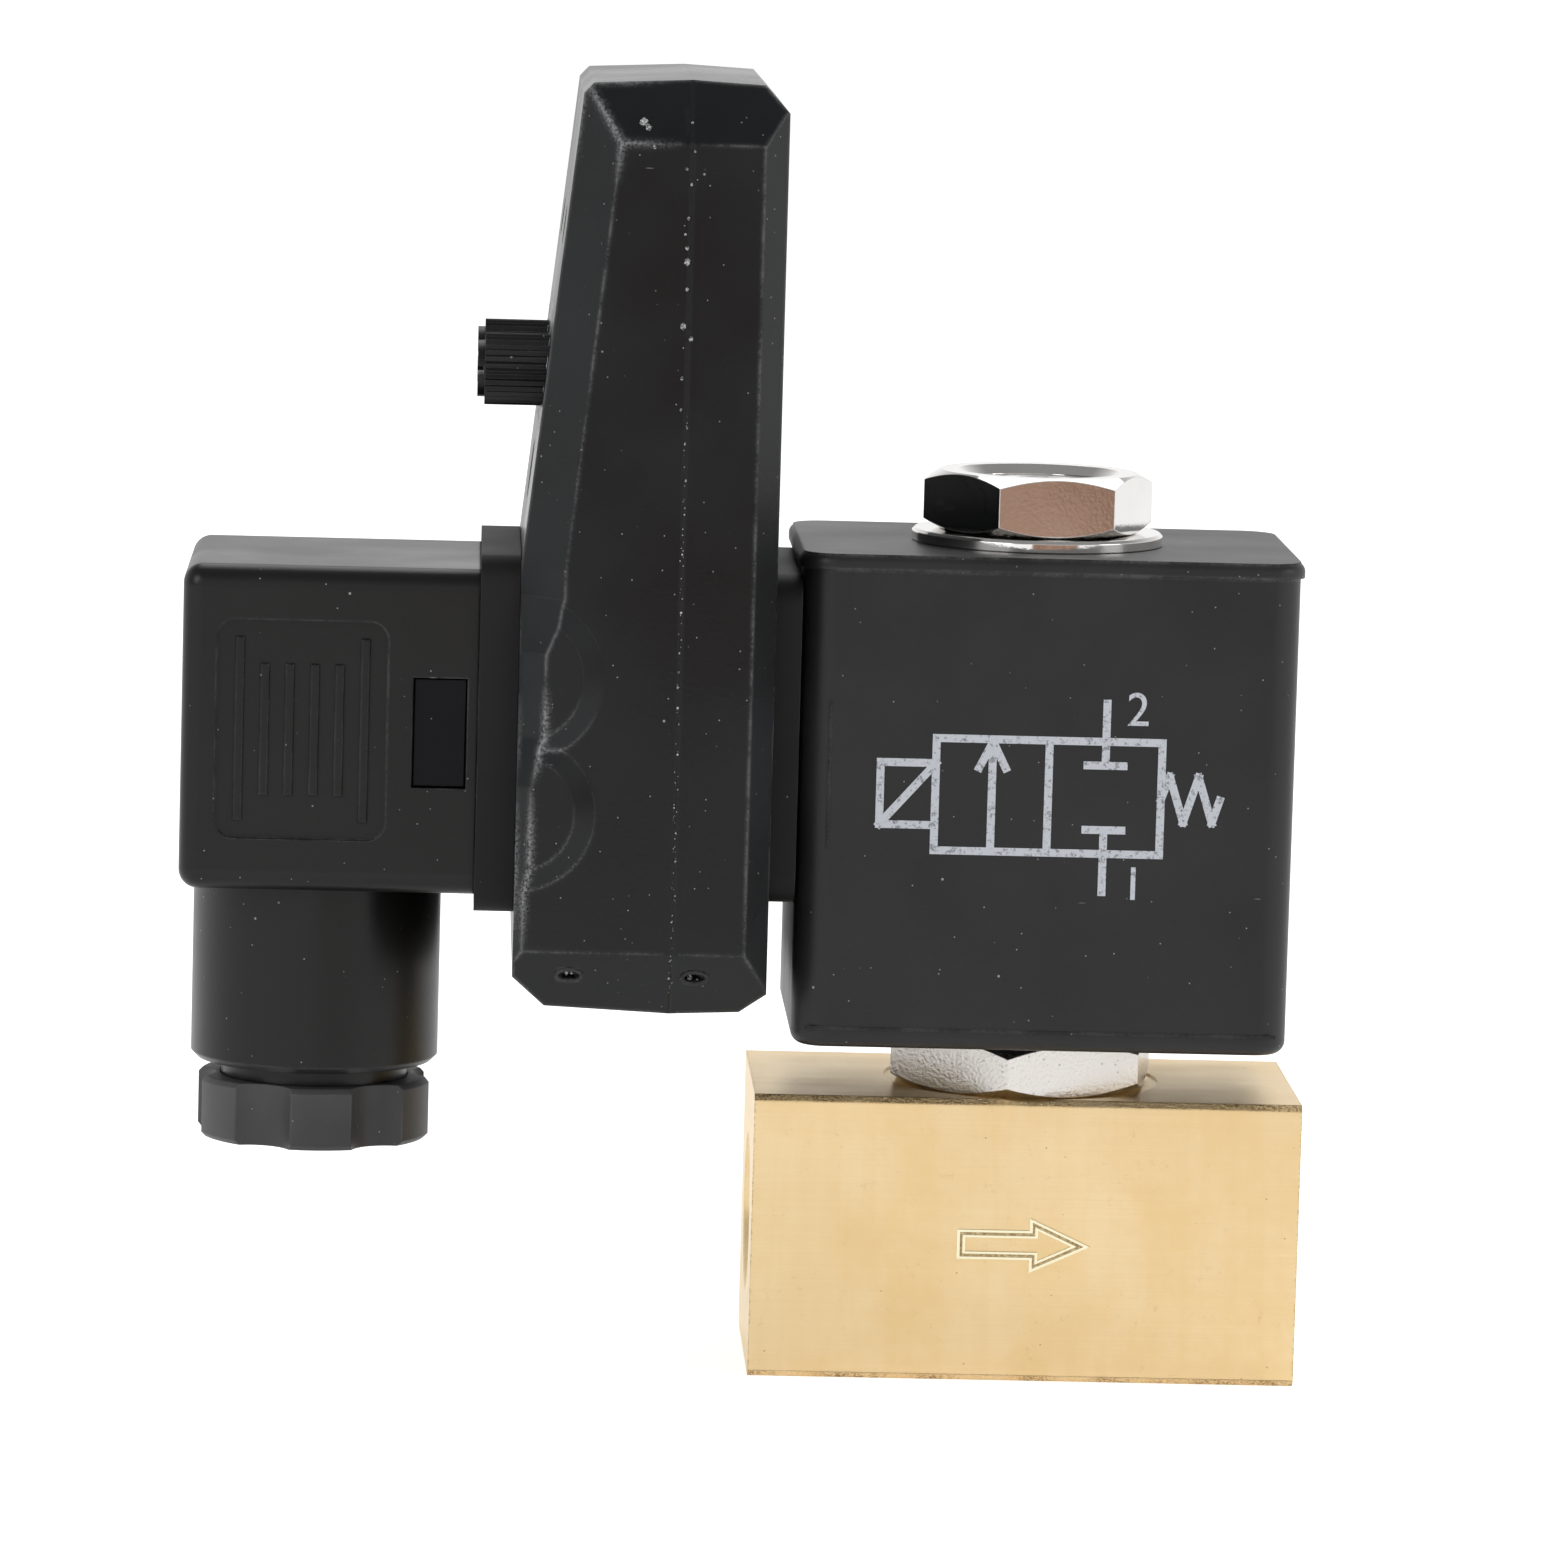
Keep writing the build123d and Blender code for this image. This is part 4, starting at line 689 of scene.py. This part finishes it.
# %% The arrow's two ridges
ridge_height, ridge_rounding = 0.13, 0.04
body_low, body_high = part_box("valve_body")
arrow_place = on_face((0.0, body_low.y, 0.0), (1, 0, 0), (0, 0, 1))
shape, tops = arrow_rings((0, 2), ridge_height)
rims = [
    e for e in shape.edges
    if all(v in tops for v in e.verts) and len(e.link_faces) == 2 and e.calc_face_angle(0.0) > 0.5
]
bmesh.ops.bevel(
    shape, geom=rims, offset=ridge_rounding, segments=2, profile=0.5, affect="EDGES", material=-1,
)
# the ridges' pale tone is painted highlight on top of their burnish
finished("flow_arrow", shape, arrow_place, "valve", struck_brass_painted_highlight)

# %% [markdown]
# The groove between the ridges is painted brown: painted shade where the groove
# falls in shadow, with crumbs of dirt in it. The middle ring, barely raised, is a
# film of this colour.

# %% The painted shade and dirt in the groove
shade_film_height = 0.02
# painted shade in the groove, mottled with crumbs of dirt
groove_shade_and_dirt, tree, shader = new_finish("groove_shade_and_dirt", 0.6)
crumbs = ranged(tree, clouds(tree, place(tree), 0.25 * MM, 3.0, 0.8), 0.42, 0.58, 0.0, 1.0)
tree.links.new(
    mixed(tree, crumbs, (0.42, 0.28, 0.12, 1.0), (0.82, 0.66, 0.38, 1.0)), shader.inputs["Base Color"],
)
shape, tops = arrow_rings((1,), shade_film_height)
finished("arrow_groove_shade_and_dirt", shape, arrow_place, "valve", groove_shade_and_dirt)

# %% [markdown]
# ## The pipe threads
# Each port is tapped with a G1/4 pipe thread, 19 turns to the inch. A thread is
# one small tooth carried round the bore while it moves along it, which is what
# the spin operator does when it is given a step along the axis.


# %% The pipe threads
def carried_round(shape, section, pitch, length, steps):
    """Carries the edges of a section round Z while it climbs, and closes both ends."""
    count = int(steps * length / pitch)
    first = list(section)
    made = bmesh.ops.spin(
        shape, geom=first + list({v for e in first for v in e.verts}), cent=(0, 0, 0), axis=(0, 0, 1),
        dvec=(0, 0, pitch / steps), angle=2 * math.pi * count / steps, steps=count,
    )
    last = [e for e in made["geom_last"] if isinstance(e, bmesh.types.BMEdge)]
    for ring in (first, last):
        bmesh.ops.edgeloop_fill(shape, edges=ring)


def thread(shape, bore_radius, tooth_height, tooth_base, pitch, length):
    """A helical tooth on the wall of a bore, in a drawing whose axis is Z."""
    root, crest = bore_radius + 0.05, bore_radius - tooth_height
    half_root, half_crest = 0.5 * tooth_base, 0.1 * tooth_base
    points = [(root, -half_root), (root, half_root), (crest, half_crest), (crest, -half_crest)]
    corners = [shape.verts.new((radius, 0.0, height)) for radius, height in points]
    edges = [shape.edges.new((corners[k - 1], corners[k])) for k in range(len(corners))]
    carried_round(shape, edges, pitch, length, 40)


pipe_bore_radius, pipe_pitch, pipe_thread_length = 5.7225, 1.337, 9.0
pipe_tooth_height, pipe_tooth_base = 0.28, 0.9
thread_start = 1.2
axis_z = (body_low.z + body_high.z) / 2
for name, end_x, inwards in (("inlet_thread", body_low.x, 1), ("outlet_thread", body_high.x, -1)):
    shape = bmesh.new()
    thread(
        shape, pipe_bore_radius, pipe_tooth_height, pipe_tooth_base, pipe_pitch, pipe_thread_length,
    )
    start_x = end_x + inwards * thread_start * MM
    face = on_face((start_x, 0.0, axis_z), (0, 1, 0), (0, 0, inwards))
    finished(name, shape, face, "valve", brass)

# %% [markdown]
# ## The plunger's spring
# The spring stands in the plunger's bore and pushes against the fixed core. When
# the coil pulls the plunger up, the spring gets shorter. This round-wired spring,
# as long as the solid one, stands in for it, and the solid one is hidden.

# %% The spring
wire_radius, coil_radius, spring_pitch = 0.3, 2.0, 3.2
spring_low, spring_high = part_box("plunger_spring")
foot, head = spring_low.z / MM + wire_radius, spring_high.z / MM - wire_radius
shape = bmesh.new()
wire = Matrix.Translation((coil_radius, 0.0, foot)) @ Matrix.Rotation(math.pi / 2, 4, "X")
bmesh.ops.create_circle(shape, cap_ends=False, radius=wire_radius, segments=10, matrix=wire)
carried_round(shape, shape.edges, spring_pitch, head - foot, 28)
spring = finished("round_spring", shape, to_metres, None, spring_steel, smooth=True)
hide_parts("plunger_spring")
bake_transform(spring)
print("spring", round(head - foot, 2), "mm long", round((head - foot) / spring_pitch, 2), "turns")

# %% [markdown]
# ## The print on the coil
# The front of the coil is printed in white with the standard drawing sign for
# this kind of valve: two squares for its two states, an arrow for open, two stops
# for shut, a coil on one side, a spring on the other, and a number at each port.

# %% White print
print_white, tree, shader = new_finish("print_white", 0.55)
ink = clouds(tree, place(tree), 0.35 * MM, 3.0, 0.7)
tree.links.new(
    mixed(tree, ranged(tree, ink, 0.36, 0.46, 0.0, 1.0), (0.26, 0.27, 0.30, 1.0), (0.62, 0.65, 0.70, 1.0)),
    shader.inputs["Base Color"],
)
bumped(tree, shader, ink, 0.004 * MM)


def digits(shape, text, size, x, y, height):
    """A number, drawn with Blender's own font and laid centred on a point of a drawing."""
    curve = bpy.data.curves.new("digits", "FONT")
    curve.body = text
    curve.size = size
    curve.align_x = "CENTER"
    curve.align_y = "CENTER"
    curve.extrude = height / 2
    holder = bpy.data.objects.new("digits", curve)
    bpy.context.scene.collection.objects.link(holder)
    mesh = bpy.data.meshes.new_from_object(holder.evaluated_get(bpy.context.evaluated_depsgraph_get()))
    mesh.transform(Matrix.Translation((x, y, height / 2)))
    shape.from_mesh(mesh)
    bpy.data.objects.remove(holder)
    bpy.data.curves.remove(curve)
    bpy.data.meshes.remove(mesh)


# %% The valve sign on the coil
sign_line, sign_height = 0.66, 0.03
square = 9.4
half = square / 2
coil_low, coil_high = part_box("coil_housing")
coil_lip_proud = 0.35
sign_aside, sign_drop = 0.6, 4.0
digit_size, digit_gap = 4.0, 2.6
plug_axis_z = sum(corner.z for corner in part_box("connector_screw")) / 2
sign_middle = (sign_aside * MM, coil_low.y + coil_lip_proud * MM, plug_axis_z - sign_drop * MM)

strokes = [
    [(-square, -half), (-square, half), (square, half), (square, -half), (-square, -half)],
    [(0.0, -half), (0.0, half)],
    [(-half, -half), (-half, half)],
    [(-half - 1.1, half - 2.4), (-half, half - 0.2), (-half + 1.1, half - 2.4)],
    [(half, half), (half, half - 2.0)], [(half - 1.5, half - 2.0), (half + 1.5, half - 2.0)],
    [(half, -half), (half, 2.0 - half)], [(half - 1.5, 2.0 - half), (half + 1.5, 2.0 - half)],
    [(half, half), (half, half + 3.2)], [(half, -half), (half, -half - 3.2)],
    [(-square, -2.6), (-square - 4.6, -2.6), (-square - 4.6, 2.6), (-square, 2.6)],
    [(-square - 4.6, -2.6), (-square, 2.6)],
    [(square, 0.0), (square + 0.7, 1.9), (square + 1.9, -1.9), (square + 3.1, 1.9), (square + 4.3, -1.9),
     (square + 4.9, 0.0)],
]
faces_of_a_bar = 6
overprint = 0.0016  # each line a little higher than the last, so that no two tops coincide
shape = bmesh.new()
for start, end in (pair for stroke in strokes for pair in zip(stroke, stroke[1:])):
    bar(shape, start, end, sign_line, sign_height + overprint * len(shape.faces) / faces_of_a_bar)
digits(shape, "2", digit_size, half + digit_gap, half + digit_gap, sign_height)
digits(shape, "1", digit_size, half + digit_gap, -half - digit_gap, sign_height)
sign_place = on_face(sign_middle, (1, 0, 0), (0, 0, 1))
finished("coil_sign", shape, sign_place, "coil_and_timer", print_white)

# %% [markdown]
# ## Parting lines on the coil
# The plastic round the coil is moulded in one shot, and the mould leaves fine
# raised lines where its pieces met: low across the front and the back, and a
# short upright one near the timer. They are rounded bars, as high as a hair.

# %% Parting lines
parting_width, parting_height, parting_rounding = 0.30, 0.06, 0.025
low_line, low_line_inset = 1.7, 1.5
upright_inset, upright_from, upright_to = 2.9, 17.0, 29.0
coil_middle_x = (coil_low.x + coil_high.x) / 2
half_length = (coil_high.x - coil_low.x) / 2 / MM
for name, side in (("front_parting_lines", -1), ("back_parting_lines", 1)):
    shape = bmesh.new()
    reach, end = half_length - low_line_inset, side * (half_length - upright_inset)
    for line in (((-reach, low_line), (reach, low_line)), ((end, upright_from), (end, upright_to))):
        bar(shape, *line, parting_width, parting_height, parting_rounding)
    y = side * (coil_high.y - coil_lip_proud * MM)
    face = on_face((coil_middle_x, y, coil_low.z), (-side, 0, 0), (0, 0, 1))
    finished(name, shape, face, "coil_and_timer", coil_black)

# %% [markdown]
# ## The ribs in the plug's side panels
# Each side of the plug has a sunk panel with raised upright bars, the outer two
# longer than the rest. Bars are the plainest thing to model: a box with its top
# edges rounded, repeated across the panel.

# %% The panel ribs
rib_places = [-5.2, -3.1, -1.04, 1.04, 3.1, 5.2]
rib_lengths = [14.6, 10.2, 10.2, 10.2, 10.2, 14.6]
rib_width, rib_height, rib_rounding = 0.8, 0.28, 0.12
panel_depth, panel_from_end, panel_width = 0.45, 2.9, 14.2
plug_low, plug_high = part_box("plug_housing")
panel_x = plug_low.x + (panel_from_end + panel_width / 2) * MM
for name, side in (("front_panel_ribs", -1), ("back_panel_ribs", 1)):
    shape = bmesh.new()
    for x, length in zip(rib_places, rib_lengths):
        bar(shape, (x, -length / 2), (x, length / 2), rib_width, rib_height, rib_rounding)
    y = side * (plug_high.y - panel_depth * MM)
    face = on_face((panel_x, y, plug_axis_z), (-side, 0, 0), (0, 0, 1))
    finished(name, shape, face, "coil_and_timer", plug_black)

# %% [markdown]
# ## The dials on the timer
# The two knobs set how long the valve stays open and shut. Round each is a
# printed scale: a tick for every step and a number for every second one. The
# face leans back, so the drawing is laid on a leaning matrix.

# %% The dial scales
dial_steps, dial_sweep = 10, 270.0
tick_inner, tick_outer, number_radius, number_size = 4.0, 4.7, 5.9, 1.5
tick_width, dial_height = 0.2, 0.02
lean = math.radians(6.0)
bend_above_plug = 14.5
bend_z = plug_axis_z + bend_above_plug * MM


def case_front(y, z):
    """The matrix of a drawing on the timer's leaning front face, centred on a point of it."""
    x = case_low.x + (z - bend_z) * math.tan(lean)
    return on_face((x, y, z), (0, -1, 0), (math.sin(lean), 0, math.cos(lean)))


for name, knob in (("on_time_scale", "on_time_knob"), ("off_time_scale", "off_time_knob")):
    low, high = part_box(knob)
    shape = bmesh.new()
    for step in range(dial_steps + 1):
        angle = math.radians(90 + dial_sweep / 2 - step * dial_sweep / dial_steps)
        ray = Vector((math.cos(angle), math.sin(angle)))
        bar(shape, ray * tick_inner, ray * tick_outer, tick_width, dial_height)
        if step % 2 == 0:
            digits(shape, str(step), number_size, *(ray * number_radius), dial_height)
    centre_y, centre_z = (low.y + high.y) / 2, (low.z + high.z) / 2
    finished(name, shape, case_front(centre_y, centre_z), "coil_and_timer", print_white)

# %% [markdown]
# ## The weld along the timer's case
# The two halves of the case are welded together. The weld squeezes out a thin
# line of plastic with beads on it, larger and further apart towards the
# top. The beads are small flattened balls with seeded random sizes, so the line
# looks the same each time. Their finish is mottled dark and pale: the pale is
# painted highlight that stands for the glints on glossy drops.

# %% The weld beads
# black plastic beads whose pale mottle is painted highlight, the glints of glossy drops
weld_painted_highlight, tree, shader = new_finish("weld_painted_highlight", 0.22)
crust_and_glints = ranged(tree, clouds(tree, place(tree), 0.16 * MM, 2.0), 0.40, 0.60, 0.0, 1.0)
tree.links.new(
    mixed(tree, crust_and_glints, (0.05, 0.05, 0.05, 1.0), (0.62, 0.62, 0.63, 1.0)), shader.inputs["Base Color"],
)
bumped(tree, shader, crust_and_glints, 0.02 * MM)

case_half_width = 20.0
top_bevel_wide, top_bevel_tall = 4.0, 5.1
bottom_bevel_wide, bottom_bevel_tall = 4.0, 5.5
case_bottom, case_top = case_low.z / MM, case_high.z / MM
weld_from_bottom, weld_from_top, coarse_length = 2.0, 1.0, 27.0
bead_shape = Matrix.Diagonal((1.0, 0.7, 1.2, 1.0))


def case_side(z):
    """How far the case's side stands out at a height, in millimetres."""
    into_top = max(0.0, z - (case_top - top_bevel_tall)) / top_bevel_tall
    into_bottom = max(0.0, case_bottom + bottom_bevel_tall - z) / bottom_bevel_tall
    return case_half_width - into_top * top_bevel_wide - into_bottom * bottom_bevel_wide


def bead(shape, x, y, z, radius):
    """A small ball of plastic, flattened against the side of the case."""
    ball = Matrix.Translation((x, y, z)) @ bead_shape
    bmesh.ops.create_icosphere(shape, subdivisions=1, radius=radius, matrix=ball)


chance = random.Random(7)
for name, side in (("front_weld", -1), ("back_weld", 1)):
    shape = bmesh.new()
    z = case_bottom + weld_from_bottom
    while z < case_top - weld_from_top:
        high_up = z > case_top - coarse_length
        radius = 0.12 + 0.20 * chance.random() ** 2 if high_up else 0.04 + 0.09 * chance.random() ** 2
        x = split_x / MM + (chance.uniform(-0.45, 0.45) if high_up else chance.uniform(-0.15, 0.15))
        bead(shape, x, side * case_side(z), z, radius)
        z += chance.uniform(0.8, 3.4) if high_up else chance.uniform(0.12, 0.6) + 1.2 * chance.random() ** 6
    finished(name, shape, to_metres, "coil_and_timer", weld_painted_highlight, smooth=True)

# %% [markdown]
# Four oval marks sit low on the case's sides, where pins pushed the moulding
# out. Each has a thin raised rim, made from a circle whose middle is inset and
# taken away, and still holds a few lumps of torn plastic. A double drop and a
# small one stick to the front near the top.

# %% Pin marks and lumps
mark_places = [split_x / MM + 2.0, split_x / MM - 8.4]
mark_z, lump_depth = case_bottom + 3.4, 0.45
drops = [(-34.5, 105.2, 0.42), (-34.1, 104.8, 0.30), (-33.6, 103.3, 0.16)]
rim_size, rim_width, rim_height = Matrix.Diagonal((1.25, 0.85, 1.0, 1.0)), 0.36, 0.06
for name, side in (("front_marks", -1), ("back_marks", 1)):
    rims, lumps = bmesh.new(), bmesh.new()
    leaning_up = (0.0, side * bottom_bevel_wide, bottom_bevel_tall)
    face = on_face((0, 0, 0), (-side, 0, 0), leaning_up) @ Matrix.Diagonal((1 / MM, 1 / MM, 1 / MM, 1.0))
    for mark_x in mark_places:
        spot = Matrix.Translation((mark_x, side * case_side(mark_z), mark_z)) @ face
        made = bmesh.ops.create_circle(rims, cap_ends=True, radius=1.0, segments=28, matrix=spot @ rim_size)
        oval = made["verts"][0].link_faces[0]
        rims.normal_update()
        inset = bmesh.ops.inset_region(rims, faces=[oval], thickness=rim_width, use_boundary=True)
        bmesh.ops.delete(rims, geom=[oval], context="FACES")
        raised = bmesh.ops.extrude_face_region(rims, geom=inset["faces"], use_keep_orig=True)
        tops = [v for v in raised["geom"] if isinstance(v, bmesh.types.BMVert)]
        bmesh.ops.translate(rims, vec=spot.to_3x3() @ Vector((0, 0, rim_height)), verts=tops)
        for lump in range(3):
            x, z = mark_x + chance.uniform(-0.45, 0.45), mark_z + chance.uniform(-0.25, 0.25)
            bead(lumps, x, side * (case_side(z) - lump_depth), z, chance.uniform(0.12, 0.26))
    if side < 0:
        for x, z, radius in drops:
            bead(lumps, x, -case_side(z), z, radius)
    finished(name + "_rims", rims, to_metres, "coil_and_timer", case_black)
    # the lumps and drops take the weld beads' finish, whose pale mottle is painted highlight
    finished(name + "_lumps", lumps, to_metres, "coil_and_timer", weld_painted_highlight, smooth=True)
